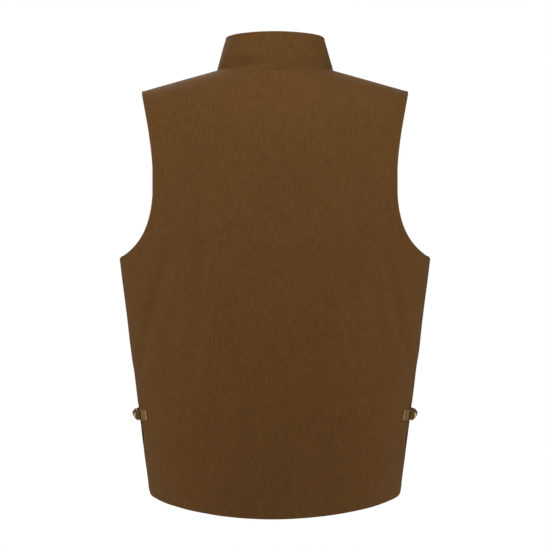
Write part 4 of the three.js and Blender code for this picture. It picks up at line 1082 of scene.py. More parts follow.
liningPlan = makePlan(1, 0, body["armholeFacing"] + body["gap"], body["hemFacing"], body["backLength"], False)
backLining = dressPanel(
    "backLiningCloth", liningPlan, body["liningTop"], body["liningTop"], liningCloth,
    "back_lining", [("south", "hem", 5, 0.12)], whole=True,
)
innerPlan = makePlan(
    -1, body["tapeEdge"] + body["gap"], body["armholeFacing"] + body["gap"], body["hemFacing"],
    body["frontLength"], False,
)
for word, flip in sides:
    lining = dressPanel(
        word + "FrontLiningCloth", innerPlan, body["liningTop"], body["liningTop"], liningCloth,
        word + "_front_lining", [("south", "hem", 5, 0.12)], mirror=flip < 0,
    )


# A facing follows the armhole all round, from the shoulder down the back and up the front.
def facingGrid(lift):
    inward = np.array([0, 0.4, 1, 2, 4, 6, 8, 10, 12, 13.6, 14.6, 15.4, 16])
    lines = np.array([armholeLine(inset, 42) for inset in inward])
    loops = []
    for side in (1, -1):
        x, z = lines[..., 0], lines[..., 1]
        half = halfWidthAt(z) + lift
        low = np.array([[half[k, -1], z[k, -1]] for k in range(len(inward))])
        x = np.concatenate([np.minimum(x, half), low[:, None, 0]], axis=1)
        z = np.concatenate([z, low[:, None, 1]], axis=1)
        turn = turnAt(x, z, lift)
        top = np.full((len(inward), 1), math.pi / 2)
        turn = np.concatenate([top, turn], axis=1)
        x = np.concatenate([x[:, :1], x], axis=1)
        place = formPlace(x, turn, lift, side)
        loops.append(place if side > 0 else place[:, ::-1])
    loop = np.concatenate([loops[0], loops[1][:, 1:-1]], axis=1)
    return loop.transpose(1, 0, 2)


for word, flip in sides:
    grid = facingGrid(body["liningTop"])
    behind, ahead = (foldLift(grid[..., 0] * flip, grid[..., 2], side) for side in (1, -1))
    raised = np.where(grid[..., 1] > 0, behind, ahead)
    grid = grid * np.array([flip, 1, 1])
    facing = makeSheet(word + "ArmholeFacingCloth", grid, body["liningTop"], raised * 0.8, "", ring=True)
    dress(facing["piece"], "vest", shellCloth, [word + "_armhole_facing"])


# The cloth behind each side vent, set back from the notch's own edge, in a darker copy of the shell cloth
# that paints the shade inside the vent.
def ventGrid():
    z = np.linspace(vent["top"] - 0.6, vent["bottom"] + 0.6, 26)
    share = np.linspace(0, 1, 14)
    rows = []
    for level in z:
        side = float(halfWidthAt(level)) + vent["sunk"]
        depth = max(0.5, float(ventNotch(np.array(level))) - 0.25)
        x = side - depth * share[::-1] ** 2
        rows.append(formPlace(x, np.full_like(x, level - body["bendZ"]), vent["sunk"], 1))
    return np.array(rows)


for word, flip in sides:
    grid = ventGrid() * np.array([flip, 1, 1])
    cloth = makeSheet(word + "VentFacingCloth", grid, 0.9, None, allEdges, 0.45)
    dress(cloth["piece"], "vest", ventShadeCloth, [word + "_side_vent_facing"])


print("collar")

collar = {"height": 52.5, "topHalf": 76.7, "topBackDepth": 75, "baseHalf": 91.8, "lining": 1.1, "stitch": 4.5}


def neckHeight(x, y, side, lift):
    z = 0.0 if side > 0 else -body["neckFrontDrop"]
    flat = 0 if side > 0 else body["zipFlat"]
    for _ in range(14):
        depth = float(backLine(np.array(z)) if side > 0 else frontDepth(np.array(z))) + lift
        share = float(roundShare(np.array(x), float(halfWidthAt(np.array(z))), flat))
        close = min(1.0, y / (depth * share))
        rise = (1 - close ** body["closePower"]) ** (1 / body["bendPower"])
        z = body["bendZ"] + (float(shoulderTop(x)) + lift - body["bendZ"]) * rise
        if side < 0:
            z = max(z, -body["neckFrontDrop"])
    return z


def collarLine(turn, ups, inward):
    front = math.cos(turn) > 0
    flat = body["zipFlat"] if front else 0
    facing, around = abs(math.cos(turn)), math.sin(turn)
    topZ = collar["height"] - ((collar["height"] - collarFrontTop) * facing**2 if front else 0)
    middle = (body["shellIn"] + body["shellOut"]) / 2
    baseDepth = frontLine(-body["neckFrontDrop"]) + middle if front else body["neckBackDepth"]
    baseX = flat + (body["neckHalf"] - flat) * around
    baseZ = neckHeight(baseX, baseDepth * facing, -1 if front else 1, middle) + body["gap"] + 0.05
    low = (frontLine(baseZ) + body["shellOut"] if front else body["neckBackDepth"] + 1.1) - inward
    high = (frontLine(topZ) + body["shellOut"] if front else collar["topBackDepth"]) - inward
    x = flat + (collar["baseHalf"] + (collar["topHalf"] - collar["baseHalf"]) * ups - inward - flat) * around
    y = (low + (high - low) * ups) * facing
    return np.stack([x, -y if front else y, baseZ + (topZ - baseZ) * ups], axis=-1)


def collarGrid(inward, edgeX, topDrop):
    height = collar["height"]
    ups = np.concatenate([
        np.array([0, 0.3, 0.7, 1.2, 2.0, 3.0, 4.5, 6.5, 9]) / height, np.linspace(12, 42, 12) / height,
        np.array([44.5, 46, 47, 48, 49, 50, 51, 51.7, 52.2, 52.5]) / height,
    ]) * (1 - topDrop / height)
    columns = []
    flatLine = collarLine(0.0, ups, inward)
    for x in np.concatenate([edgeX + np.array([0, 0.4, 1, 2, 3.5]), [(edgeX + 3.5 + 20) / 2]]):
        columns.append(np.column_stack([np.full(len(ups), min(x, 20)), flatLine[:, 1], flatLine[:, 2]]))
    for turn in np.linspace(0, math.pi, 96):
        columns.append(collarLine(turn, ups, inward))
    half = np.array(columns)
    whole = np.concatenate([half, (half * np.array([-1, 1, 1]))[::-1][1:]])
    return whole.transpose(1, 0, 2)


# The collar stands a little unevenly, and is drawn in near its seam on the wearer's left.
def collarLift(grid):
    x, y, z = grid[..., 0], grid[..., 1], grid[..., 2]
    back = np.clip(y / 40, 0, 1)
    height = np.clip(z / 52, 0, 1)
    dent = -3.0 * np.exp(-(((x - 46) / 25) ** 2) - ((z - 3) / 8) ** 2)
    dent += 1.3 * np.exp(-(((x - 46) / 28) ** 2) - ((z - 20) / 9) ** 2)
    wave = 0.35 * np.sin(x / 21.0 + 0.7) + 0.25 * np.sin(x / 12.0 + z / 30.0)
    roll = 0.5 * np.sin(math.pi * height)
    return back * (dent + wave + roll) + ripples(x + y, z, "collar")


def makeCollar():
    grid = collarGrid(0.0, body["zipOpening"], 0)
    reach = edgeReach(grid)
    toTop, fromBase = reach["north"], reach["south"]
    lift = collarLift(grid)
    lift += groove(toTop, collar["stitch"], 0.32) + swell(toTop, 0.5, 4.0, 0.3)
    lift += groove(fromBase, 2.2, 0.22) + swell(fromBase, 0.3, 2.0, 0.15)
    outer = makeSheet("collarCloth", grid, shellThick, lift, allEdges, 1.1)
    dress(outer["piece"], "vest", shellCloth, ["collar_outer"])
    rows = [sewRows("collarStitches", [
        lineAlong(outer, "north", collar["stitch"], 2, -2), lineAlong(outer, "south", 2.2, 2, -2),
        lineAlong(outer, "west", 5, 3, -3), lineAlong(outer, "east", 5, 3, -3),
    ])]
    inward = body["shellOut"] - collar["lining"]
    inner = collarGrid(inward, body["tapeEdge"] + body["gap"], 1.5)
    facing = makeSheet("collarFacingCloth", inner, collar["lining"], collarLift(inner), allEdges, 0.55)
    dress(facing["piece"], "vest", liningCloth, ["collar_facing"])


makeCollar()

print("pockets and flaps")

seat = body["shellOut"] + body["gap"]
pocketWall = 2
flapSizes = {
    "thickness": 2.0, "rise": 16, "overhang": 3, "pocketGap": 2.1, "corner": 10, "topRows": (1.5, 6.4),
}
pocketSizes = {
    "chest_pocket": {
        "inner": 62, "outer": 158, "mouth": -224, "bottom": -336, "corner": 12, "depths": (11.5, 12.5, 8),
        "flapLength": 48,
    },
    "lower_pocket": {
        "inner": 44, "outer": 162, "mouth": -430, "bottom": -612, "corner": 16, "depths": (14, 22, 18),
        "flapLength": 60,
    },
}


def pocketFront(pocket, z):
    mouth, bottom = pocket["mouth"], pocket["bottom"]
    middle = mouth - (mouth - bottom) * 0.4
    heights = [seat + depth + pocketWall for depth in pocket["depths"]]
    return np.interp(z, [bottom, middle, mouth], heights[::-1])


def cornerWidth(half, corner, above):
    drop = np.clip(corner - above, 0, corner)
    return half - corner + np.sqrt(np.maximum(corner**2 - drop**2, 0))


# From the seam up the wall, which is pleated like a bellows, and on to the front face.
wallSteps = [
    (0, 0.0), (0.3, 0.12), (1.3, 0.26), (2.1, 0.4), (2.3, 0.5), (1.9, 0.62), (1.0, 0.78), (0.25, 0.9),
    (0.2, 0.96), (0.9, 0.995), (2.2, 1.0), (3.6, 1.0), (4.4, 1.0), (5.0, 1.0), (5.6, 1.0), (6.6, 1.0),
    (9, 1.0),
]


def pocketGrid(pocket):
    half = (pocket["outer"] - pocket["inner"]) / 2
    middle = (pocket["outer"] + pocket["inner"]) / 2
    mouth, bottom, corner = pocket["mouth"], pocket["bottom"], pocket["corner"]
    downRows = wallSteps + [(d, 1.0) for d in np.arange(12, mouth - bottom - 13, 3.4)]
    downRows += [(mouth - bottom - d, 1.0) for d in (12, 11, 10.2, 9.4, 8, 6, 4, 2.6, 1.6, 0.9, 0.4, 0)]
    rows = []
    for above, rowShare in downRows:
        z = bottom + above
        wide = float(cornerWidth(half, corner, above))
        inside = np.linspace(12, wide, 18)
        offsets = [(-wide + d, share) for d, share in wallSteps] + [(-wide + d, 1.0) for d in inside]
        offsets += [(wide - d, 1.0) for d in inside[::-1][1:]]
        offsets += [(wide - d, share) for d, share in wallSteps[::-1]]
        across = np.array([offset for offset, _ in offsets])
        share = np.minimum(np.array([share for _, share in offsets]), rowShare)
        lift = seat + 0.1 + (float(pocketFront(pocket, z)) - seat) * share
        x = middle + across
        level = np.full_like(x, z)
        upward = np.sin(math.pi * np.clip(above / (mouth - bottom), 0, 1))
        sag = 1.4 * np.clip(1 - (across / half) ** 2, 0, 1) * upward
        lift = lift + sag * (share >= 1)
        rows.append(formPlace(x, level - body["bendZ"], lift, -1))
    return np.array(rows)


# The rows of the pocket's grid that are stitched: two beside each edge, and one below the mouth.
stitchRows = {"near": 10, "far": 13, "mouth": -9, "depth": 0.3}


def columnLine(sheet, column, first=0, last=None):
    return sheet["outer"][first:last, column], sheet["normals"][first:last, column]


def rowLine(sheet, row, first=0, last=None):
    return sheet["outer"][row, first:last], sheet["normals"][row, first:last]


def makePocket(word, flip, key, pocket):
    grid = pocketGrid(pocket)
    near, far, mouthRow = stitchRows["near"], stitchRows["far"], stitchRows["mouth"]
    lift = np.zeros(grid.shape[:2])
    for line in (lift[:, far], lift[:, -1 - far], lift[far, far:-far], lift[mouthRow, far:-far]):
        line -= stitchRows["depth"]
    for kind in ("pocket", "pocketSag"):
        lift += ripples(grid[..., 0] * flip, grid[..., 2], kind)
    edgeFade = np.minimum(arcs(grid, 0), 16) / 16
    lift = lift * np.clip(edgeFade, 0.15, 1)
    grid = grid * np.array([flip, 1, 1])
    pouch = makeSheet(f"{word}_{key}_cloth", grid, 1.7, lift, "north", 0.85)
    dress(pouch["piece"], "vest", shellCloth, [f"{word}_{key}"])
    rows = sewRows(f"{word}_{key}_stitches", [
        columnLine(pouch, far, far, -3), columnLine(pouch, -1 - far, far, -3),
        columnLine(pouch, near, near, -3), columnLine(pouch, -1 - near, near, -3),
        rowLine(pouch, far, far, -far), rowLine(pouch, near, near, -near),
        rowLine(pouch, mouthRow, near, -near), columnLine(pouch, 1, 1, -3), columnLine(pouch, -2, 1, -3),
    ])
    return pouch


def flapGrid(pocket):
    half = (pocket["outer"] - pocket["inner"]) / 2 + flapSizes["overhang"]
    middle = (pocket["outer"] + pocket["inner"]) / 2
    top = pocket["mouth"] + flapSizes["rise"]
    low = top - pocket["flapLength"]
    gap, thick = flapSizes["pocketGap"], flapSizes["thickness"]
    heights = [
        float(pocketFront(pocket, low)) + gap + thick,
        float(pocketFront(pocket, pocket["mouth"])) + gap + thick,
        seat + thick,
    ]
    steps = [0, 0.3, 0.8, 1.5, 2.6, 3.8, 4.5, 5.0, 5.5, 6.4, 8]
    long = top - low
    upward = steps + list(np.arange(10.5, long - 9.5, 2.4)) + [long - d for d in steps[::-1]]
    rows = []
    for above in upward:
        z = low + above
        wide = float(cornerWidth(half, flapSizes["corner"], above))
        near = np.array([-wide + d for d in steps])
        across = np.concatenate([near, np.linspace(-wide + 10.5, wide - 10.5, 30), -near[::-1]])
        lift = float(np.interp(z, [low, pocket["mouth"], top], heights))
        bend = 1.1 * math.exp(-(((z - pocket["mouth"]) / 7) ** 2))
        droop = 0.7 * (np.abs(across) / half) ** 6
        x = middle + across
        rows.append(formPlace(x, np.full_like(x, z - body["bendZ"]), lift - bend * 0.6 - droop, -1))
    return np.array(rows)


def makeFlap(word, flip, key, pocket):
    grid = flapGrid(pocket)
    reach = edgeReach(grid)
    along, across = reach["south"], reach["west"]
    lift = ripples(grid[..., 0] * flip, grid[..., 2], "flap")
    for distance in (along, across, reach["east"]):
        lift += groove(distance, 5, 0.3, 0.6) + swell(distance, 0.5, 4.4, 0.22)
        lift += puckers(distance, across if distance is along else along, 7, 0.07, 8)
    for at in flapSizes["topRows"]:
        lift += groove(reach["north"], at, 0.25, 0.6)
    grid = grid * np.array([flip, 1, 1])
    flap = makeSheet(f"{word}_{key}_flapCloth", grid, flapSizes["thickness"] - 0.1, lift, allEdges, 0.95)
    dress(flap["piece"], f"{word}_{key}_flap", shellCloth, [f"{word}_{key}_flap"])
    lines = [lineAlong(flap, "south", 5, 6, -6)]
    lines += [lineAlong(flap, edge, 5, 6, -3) for edge in ("west", "east")]
    lines += [lineAlong(flap, "north", at, 2, -2) for at in flapSizes["topRows"]]
    rows = sewRows(f"{word}_{key}_flapStitches", lines, f"{word}_{key}_flap")


for word, flip in sides:
    for key, pocket in pocketSizes.items():
        makePocket(word, flip, key, pocket)
        makeFlap(word, flip, key, pocket)


print("webbing")

webbing = {"width": 16, "thickness": 1.3, "ribs": 5, "ribHeight": 0.3}
adjuster = {
    "z": -537.5, "buckleLength": 22, "buckleBar": 3.2, "buckleThickness": 2.4,
    "backStandoff": 8.2, "frontStandoff": 12, "gatherFrom": 4.6, "gatherOver": 11.5, "rise": 1.8,
}


def smoothPath(points, step=0.6):
    points = np.array(points, float)
    for _ in range(3):
        a, b = points[:-1], points[1:]
        cut = np.stack([0.75 * a + 0.25 * b, 0.25 * a + 0.75 * b], axis=1).reshape(-1, points.shape[1])
        points = np.vstack([points[:1], cut, points[-1:]])
    steps = lineArcs(points)
    even = np.linspace(0, steps[-1], max(4, int(steps[-1] / step)))
    return np.column_stack([np.interp(even, steps, points[:, k]) for k in range(points.shape[1])])


# Round the buckle the webbing is drawn together and rides a little high. The first direction runs
# outwards from the side seam, and the third runs up it.
def gather(points):
    out = np.clip((points[:, 0] - adjuster["gatherFrom"]) / adjuster["gatherOver"], 0, 0.98)
    share = 0.5 * (np.sqrt(1 - out**2) + 1 - 0.72 * out)
    rise = adjuster["rise"] * np.clip((points[:, 0] + 2) / 10, 0, 1)
    return np.column_stack([points[:, 0], points[:, 1], points[:, 2] * share + rise])


# A woven strap along a plan path; its width runs along the third direction of the turn given.
def makeStrap(
    name, path, turn, node, material, barAt=None, width=webbing["width"], dense=0.6,
    gathered=False,
):
    path = smoothPath(path, dense)
    across = np.linspace(-width / 2, width / 2, 10 * webbing["ribs"] + 1)
    grid = np.zeros((len(path), len(across), 3))
    grid[..., :2] = path[:, None, :]
    grid[..., 2] = across[None, :]
    tangent = unit(np.gradient(path, axis=0))
    normal = np.stack([tangent[:, 1], -tangent[:, 0], np.zeros(len(path))], axis=1)
    half = webbing["thickness"] / 2
    ribs = np.abs(np.cos(math.pi * webbing["ribs"] * (across / width + 0.5)))
    steps = lineArcs(path)
    beat = 0.05 * np.sin(steps * 2 * math.pi / 1.1)[:, None]
    rubbed = np.zeros(grid.shape[:2])
    # The folded bar at barAt is rubbed light: wear and a painted highlight on the fold.
    if barAt is not None:
        rubbed += np.exp(-(((steps - barAt) / 1.3) ** 4))[:, None]
    lift = webbing["ribHeight"] * (ribs[None, :] - 1) + beat + 0.6 * rubbed
    edge = np.clip((width / 2 - np.abs(across)) / 0.6, 0, 1)
    lift = lift - 0.25 * (1 - edge)[None, :]
    outer = grid + normal[:, None, :] * (half + lift)[..., None]
    inner = grid - normal[:, None, :] * (half - 0.5 * webbing["ribHeight"])
    points = np.vstack([outer.reshape(-1, 3), inner.reshape(-1, 3)])
    if gathered:
        points = gather(points)
    points = np.array([turn @ Vector(p) for p in points]) * mm
    rows, columns = grid.shape[:2]
    flat = np.stack(np.meshgrid(across, steps), axis=-1).reshape(-1, 2)
    # Edges rub light with wear, and the rib crests are lightened as a painted highlight.
    rubHighlightAndShade = np.maximum(rubbed, 0.3 * (1 - edge)[None, :] + 0.26 * (ribs**3)[None, :])
    # Beyond the bar the loop round the buckle is darkened: painted shade.
    if barAt is not None:
        loopShade = np.clip((grid[..., 0] - 0.5) / 4, 0, 1)
        rubHighlightAndShade = rubHighlightAndShade * (1 - loopShade) - 0.62 * loopShade
    rubs = np.concatenate([rubHighlightAndShade.ravel(), rubHighlightAndShade.ravel()])
    piece = meshFrom(name, points, closedFaces(rows, columns, points), np.vstack([flat, flat]) * mm, rubs)
    dress(piece, "vest", material, [node])
    return piece


def sideTurn(angle, lift, side):
    half = float(halfWidthAt(np.array(adjuster["z"])))
    flat = 0 if side > 0 else body["zipFlat"]
    base = flat + (half - flat) * math.sin(math.radians(angle))
    depth = float(backLine(np.array(adjuster["z"])) if side > 0 else frontDepth(np.array(adjuster["z"])))
    return [base * (1 + lift / half) - half, side * (depth + lift) * math.cos(math.radians(angle))]


def sideRun(start, end, lift, side, steps):
    return [sideTurn(start + (end - start) * k / steps, lift, side) for k in range(steps + 1)]


barRadius = math.hypot(adjuster["buckleBar"], adjuster["buckleThickness"]) / 2
loopRadius = barRadius + body["gap"] + webbing["thickness"] / 2


def roundBar(middle, side):
    turns = [math.pi * k / 10 for k in range(11)]
    out, along = middle
    return [[out - loopRadius * math.cos(t), along + side * loopRadius * math.sin(t)] for t in turns]


lean = (adjuster["frontStandoff"] - adjuster["backStandoff"]) / 2
barSpan = (adjuster["buckleLength"] - adjuster["buckleBar"]) / 2
barReach = math.sqrt(barSpan**2 - lean**2)
backBar = [adjuster["backStandoff"], barReach]
frontBar = [adjuster["frontStandoff"], -barReach]


def adjusterTurn(flip):
    place = Matrix.Translation((flip * float(halfWidthAt(np.array(adjuster["z"]))), 0, adjuster["z"]))
    return place @ Matrix.Rotation(flip * math.atan(sideTaper), 4, "Y") @ Matrix.Diagonal((flip, 1, 1, 1))


def makeAdjuster(word, flip):
    turn = adjusterTurn(flip)
    tabLift = seat + webbing["thickness"] / 2
    strapLift = tabLift + 0.4
    fold = 2 * webbing["thickness"]
    tab = sideRun(68, 79, tabLift, 1, 6) + roundBar(backBar, -1)
    tab += [sideTurn(80, tabLift + fold + 2, 1), sideTurn(77, tabLift + fold, 1)]
    makeStrap(
        f"{word}TanTab", tab, turn, f"{word}_adjuster_tab", tanWebbing,
        barAt=1.6, dense=0.5, gathered=True,
    )
    strap = sideRun(56, 80, strapLift, -1, 10) + roundBar(frontBar, 1)
    strap += [sideTurn(80, strapLift + fold + 6, -1), sideTurn(74, strapLift + fold + 1.5, -1)]
    strap += sideRun(69, 62, strapLift + fold - 0.6, -1, 3)
    makeStrap(
        f"{word}DarkStrap", strap, turn, f"{word}_adjuster_strap", darkWebbing,
        gathered=True,
    )


for word, flip in sides:
    makeAdjuster(word, flip)

chestRing = {
    "pivot": (118.686, -89.251, -146), "axis": (0.985812, 0.167855), "tab": 26, "bar": 3, "thick": 2.6,
}


def makeRingTab():
    angle = math.atan2(chestRing["axis"][1], chestRing["axis"][0])
    near = body["gap"] + webbing["thickness"] / 2
    loop = math.hypot(chestRing["bar"], chestRing["thick"]) / 2 + near
    out = near + loop + 0.2
    px, py, pz = chestRing["pivot"]
    origin = (px - out * math.sin(angle), py + out * math.cos(angle), pz)
    turn = Matrix.Translation(origin) @ Matrix.Rotation(angle, 4, "Z")
    turn = turn @ Matrix(((0, 0, 1, 0), (0, -1, 0, 0), (1, 0, 0, 0), (0, 0, 0, 1)))
    path = [[chestRing["tab"], near], [15, near], [5, near]]
    turns = [math.pi * k / 10 for k in range(11)]
    path += [[-loop * math.sin(t), out - loop * math.cos(t)] for t in turns]
    far = near + webbing["thickness"] + body["gap"]
    path += [[9, far + 0.6], [15, far + 0.2], [chestRing["tab"], far]]
    makeStrap("chestRingTab", path, turn, "chest_ring_tab", darkWebbing)


makeRingTab()


def makeHangerLoop():
    wall = body["neckBackDepth"] + 1.1 - body["shellOut"] - 2 * body["gap"] - webbing["thickness"] / 2
    path = []
    for k in range(-12, 13):
        share = k / 12
        x = share * 30
        onWall = (wall - 1) * math.sqrt(1 - (x / (body["neckHalf"] - 6)) ** 2)
        path.append([x, onWall - 9 * math.cos(share * math.pi / 2) ** 1.5])
    turn = Matrix.Translation((0, 0, 14))
    makeStrap(
        "hangerLoopBand", path, turn, "hanger_loop", darkWebbing,
        width=8,
    )


makeHangerLoop()


print("zip")

zipSizes = {
    "pitch": 7, "spineIn": 2.4, "spineOut": 4.6, "box": 14, "tape": 0.9,
    "length": zipDrop / math.cos(zipTilt),
}
tapeMiddle = body["shellIn"] - body["gap"] - zipSizes["tape"] / 2
zipTurn = Matrix.Translation((0, -float(frontLine(-body["frontLength"])) - tapeMiddle, -body["frontLength"]))
zipTurn = zipTurn @ Matrix.Rotation(-zipTilt, 4, "X")


def movedPoints(points, turn):
    matrix = np.array(turn)
    return points @ matrix[:3, :3].T + matrix[:3, 3]


def makeTape(word, flip):
    across = np.linspace(zipSizes["spineOut"] + body["gap"], body["tapeEdge"], 16)
    along = np.linspace(2, zipSizes["length"] - 3, 226)
    grid = np.zeros((len(along), len(across), 3))
    grid[..., 0] = across[None, :]
    grid[..., 1] = -zipSizes["tape"] / 2
    grid[..., 2] = along[:, None]
    lift = 0.05 * np.cos(across * 2.4)[None, :] + 0.03 * np.sin(along / 5.0)[:, None]
    grid = movedPoints(grid * np.array([flip, 1, 1]), zipTurn)
    thick = zipSizes["tape"] - 0.1
    tape = makeSheet(f"{word}ZipTape", grid, thick, lift, allEdges, 0.4, outward=(0, 500, -330))
    dress(tape["piece"], "vest", zipTapeCloth, [f"{word}_zip_tape"])


def selectFaces(piece, keep):
    bpy.ops.object.mode_set(mode="EDIT")
    bpy.ops.mesh.select_mode(type="FACE")
    bpy.ops.mesh.select_all(action="DESELECT")
    leaveEditing()
    for face in piece.data.polygons:
        face.select = keep(face)
    bpy.ops.object.mode_set(mode="EDIT")


# One moulded tooth, lying along X: a clamp round the cord, a waist and a rounded head.
def modelTooth():
    bpy.ops.object.select_all(action="DESELECT")
    bpy.ops.mesh.primitive_cube_add(size=1)
    tooth = bpy.context.object
    editWhole()
    bpy.ops.transform.resize(value=(2.5, 2.9, 3.1))
    bpy.ops.transform.translate(value=(3.45, 0, 1.6))
    leaveEditing()
    for reach, tall, deep in ((1.1, 0.9, 0.86), (1.4, 1.0, 1.0), (1.9, 1.13, 1.0)):
        selectFaces(tooth, lambda face: face.normal.x < -0.9 and face.center.x < 2.3)
        bpy.ops.mesh.extrude_region_move(TRANSFORM_OT_translate={"value": (-reach, 0, 0)})
        bpy.ops.transform.resize(value=(1, deep, tall))
        leaveEditing()
    bevel = tooth.modifiers.new("softEdges", "BEVEL")
    bevel.width = 0.28
    bevel.segments = 1
    bevel.limit_method = "ANGLE"
    bpy.ops.object.modifier_apply(modifier=bevel.name)
    points, faces = meshLists(tooth)
    points[:, 2] = np.clip(points[:, 2], 0.0, 3.2)
    return points, faces


toothPoints, toothFaces = modelTooth()


def makeChain(word, flip):
    bottom, top = zipSizes["box"] + body["gap"], zipSizes["length"] - 6
    points, faces = [], []
    z = bottom + 1.5 + (0 if flip > 0 else zipSizes["pitch"] / 2)
    while z + zipSizes["pitch"] / 2 - body["gap"] < top - 1:
        offset = len(points) * len(toothPoints)
        points.append(toothPoints + np.array([0, 0, z]))
        faces += [[v + offset for v in face] for face in toothFaces]
        z += zipSizes["pitch"]
    offset = len(points) * len(toothPoints)
    turns = np.linspace(0, 2 * math.pi, 11)[:-1]
    levels = np.linspace(bottom, top, 97)
    middle = (zipSizes["spineIn"] + zipSizes["spineOut"]) / 2
    places = [[middle + 1.3 * math.cos(t), 0.95 * math.sin(t), level] for level in levels for t in turns]
    points.append(np.array(places))
    around = len(turns)
    for k in range(len(levels) - 1):
        for j in range(around):
            a, b = k * around + j, k * around + (j + 1) % around
            faces.append([offset + a, offset + b, offset + b + around, offset + a + around])
    faces.append([offset + j for j in range(around)][::-1])
    faces.append([offset + (len(levels) - 1) * around + j for j in range(around)])
    allPoints = np.vstack(points) * np.array([flip, 1, 1])
    if flip < 0:
        faces = [face[::-1] for face in faces]
    rub = np.clip((1.2 - np.abs(allPoints[:, 0])) / 2.6, 0, 1) * 0.8
    chain = meshFrom(f"{word}ZipTeeth", movedPoints(allPoints, zipTurn) * mm, faces, None, rub)
    chain.data.polygons.foreach_set("use_smooth", [False] * len(chain.data.polygons))
    dress(chain, "vest", mouldedTeeth, [f"{word}_zip_chain"])


for word, flip in sides:
    makeTape(word, flip)
    makeChain(word, flip)


print("metal pieces")


# A convex corner rubs bright and an inner corner stays dull.
def markRub(piece):
    shape = bmesh.new()
    shape.from_mesh(piece.data)
    shape.normal_update()
    values = []
    for vertex in shape.verts:
        bends = []
        for edge in vertex.link_edges:
            if len(edge.link_faces) == 2:
                bends.append(edge.calc_face_angle_signed(0.0))
        values.append(max(0.0, min(1.0, 3.0 * sum(bends) / max(1, len(bends)))))
    shape.free()
    layer = piece.data.attributes.new("edgeRub", "FLOAT", "POINT")
    layer.data.foreach_set("value", values)


def finishMetal(piece, width, segments, bodyName, node):
    pick(piece)
    bevel = piece.modifiers.new("castEdges", "BEVEL")
    bevel.width = width * mm
    bevel.segments = segments
    bevel.limit_method = "ANGLE"
    bevel.angle_limit = math.radians(34)
    bevel.use_clamp_overlap = True
    bpy.ops.object.modifier_apply(modifier=bevel.name)
    bpy.ops.object.shade_smooth_by_angle(angle=math.radians(40))
    markRub(piece)
    dress(piece, bodyName, antiqueBrass, [node])


# A copy of a worked-out solid, its loose triangles merged and its flat faces made whole.
def copySolid(node, name):
    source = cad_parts[node]
    piece = bpy.data.objects.new(name, source.data.copy())
    scene.collection.objects.link(piece)
    piece.data.materials.clear()
    pick(piece)
    editWhole()
    bpy.ops.mesh.remove_doubles(threshold=2e-6)
    bpy.ops.mesh.dissolve_limited(angle_limit=math.radians(1.5))
    leaveEditing()
    return piece


guard = {
    "reach": 19.4, "wide": 5.4, "thick": 1.5, "off": 7.8, "bow": 8.2, "lean": 24, "inward": 2.3, "drop": 1.5,
}


# The cast lip that runs from rail to rail over the folded tab, bowed outwards in the middle.
def makeBuckle(word, flip):
    plate = copySolid(f"{word}_buckle", f"{word}CastBuckle")
    bpy.ops.object.select_all(action="DESELECT")
    bpy.ops.mesh.primitive_cube_add(size=1)
    lip = bpy.context.object
    editWhole()
    bpy.ops.transform.resize(value=(guard["wide"], guard["thick"], guard["reach"]))
    bpy.ops.mesh.select_all(action="DESELECT")
    leaveEditing()
    for edge in lip.data.edges:
        ends = [lip.data.vertices[k].co for k in edge.vertices]
        edge.select = abs(ends[0].z - ends[1].z) > 1
    bpy.ops.object.mode_set(mode="EDIT")
    bpy.ops.mesh.subdivide_edgering(number_cuts=11)
    leaveEditing()
    for vertex in lip.data.vertices:
        along = 2 * vertex.co.z / guard["reach"]
        bowed = math.sqrt(max(0.0, 1 - along**2 * 0.96))
        vertex.co.x *= 0.2 + 0.8 * bowed**1.4
        vertex.co.y += guard["off"] - guard["bow"] * (1 - bowed)
    spin = Matrix.Rotation(-math.radians(guard["lean"]), 4, "Z")
    turn = adjusterTurn(flip)
    shift = Matrix.Translation((backBar[0] - guard["inward"], backBar[1], -guard["drop"]))
    lip.data.transform(turn @ shift @ spin)
    lip.data.transform(Matrix.Scale(mm, 4))
    if flip < 0:
        lip.data.flip_normals()
    pick(plate, lip)
    bpy.ops.object.join()
    back = turn.inverted()
    local = gather(np.array([back @ (vertex.co / mm) for vertex in plate.data.vertices]))
    for vertex, place in zip(plate.data.vertices, local):
        vertex.co = (turn @ Vector(place)) * mm
    plate.data.update()
    finishMetal(plate, 0.5, 3, "vest", f"{word}_buckle")


for word, flip in sides:
    makeBuckle(word, flip)
for node, name, width, segments, bodyName in (
    ("chest_ring", "chestDeeRing", 0.95, 4, "chest_ring"),
    ("zip_slider", "sliderFront", 0.45, 3, "zip_slider"),
    ("zip_slider_back", "sliderBack", 0.4, 2, "zip_slider"),
    ("zip_box", "zipRetainerBox", 0.5, 3, "vest"),
    ("zip_pin", "zipInsertPin", 0.35, 3, "vest"),
):
    finishMetal(copySolid(node, name), width, segments, bodyName, node)


# The pull has a sunk panel on its face, inside a plain rim.
def makePull():
    pull = copySolid("zip_pull", "zipPullTab")
    selectFaces(pull, lambda face: face.normal.y < -0.9)
    bpy.ops.mesh.inset(thickness=1.1 * mm, depth=0)
    bpy.ops.mesh.inset(thickness=0.3 * mm, depth=-0.3 * mm)
    leaveEditing()
    finishMetal(pull, 0.28, 3, "zip_pull", "zip_pull")


makePull()


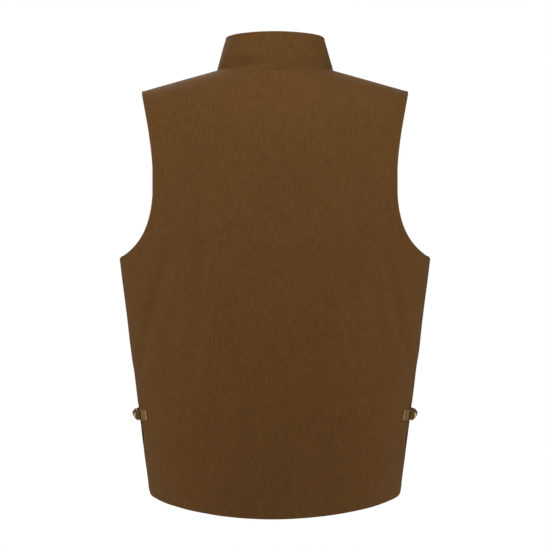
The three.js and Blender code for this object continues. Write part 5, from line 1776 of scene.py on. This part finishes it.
# The middle of a small disc and the way that it faces, from its own solid.
def discPlace(node):
    low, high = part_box(node)
    sums = {}
    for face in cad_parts[node].data.polygons:
        key = tuple(round(value, 2) for value in face.normal)
        area, normal = sums.get(key, (0.0, face.normal))
        sums[key] = (area + face.area, normal)
    facing = max((pair for pair in sums.values() if pair[1].y < 0), key=lambda pair: pair[0])[1]
    return (Vector(low) + Vector(high)) / 2, facing.copy()


def settle(piece, middle, facing):
    turn = facing.to_track_quat("Z", "Y").to_matrix().to_4x4()
    piece.data.transform(Matrix.Translation(middle) @ turn)
    piece.data.update()


snap = {"radius": 6.0, "height": 1.6, "studRadius": 4.5, "studHeight": 1.4}


def isTopFace(face):
    return face.normal.z > 0.9 and len(face.vertices) > 20


# A pressed snap cap: a rolled rim, a shallow moat and a low dome.
def modelDisc(name, radius, height, studLike):
    bpy.ops.object.select_all(action="DESELECT")
    bpy.ops.mesh.primitive_cylinder_add(vertices=36, radius=radius * mm, depth=height * mm * 0.7)
    disc = bpy.context.object
    disc.name = name
    editWhole()
    bpy.ops.transform.translate(value=(0, 0, -height * mm * 0.15))
    leaveEditing()
    steps = [(0.9, 0.0), (0.35, -0.35), (0.5, 0.0), (0.3, 0.4), (1.1, 0.22), (1.2, 0.12)]
    if studLike:
        steps = [(0.8, 0.0), (0.3, -0.4), (1.0, 0.0), (0.25, 0.75), (0.5, 0.08)]
    for inward, up in steps:
        selectFaces(disc, isTopFace)
        bpy.ops.mesh.inset(thickness=inward * mm, depth=up * mm)
        leaveEditing()
    return disc


for word in ("left", "right"):
    for key in pocketSizes:
        cap = modelDisc(f"{word}_{key}_cap", snap["radius"], snap["height"], False)
        settle(cap, *discPlace(f"{word}_{key}_snap_cap"))
        finishMetal(cap, 0.22, 2, f"{word}_{key}_flap", f"{word}_{key}_snap_cap")
        stud = modelDisc(f"{word}_{key}_stud", snap["studRadius"], snap["studHeight"], True)
        settle(stud, *discPlace(f"{word}_{key}_snap_stud"))
        finishMetal(stud, 0.18, 2, "vest", f"{word}_{key}_snap_stud")

print("stitches made:", stitchBudget["made"])
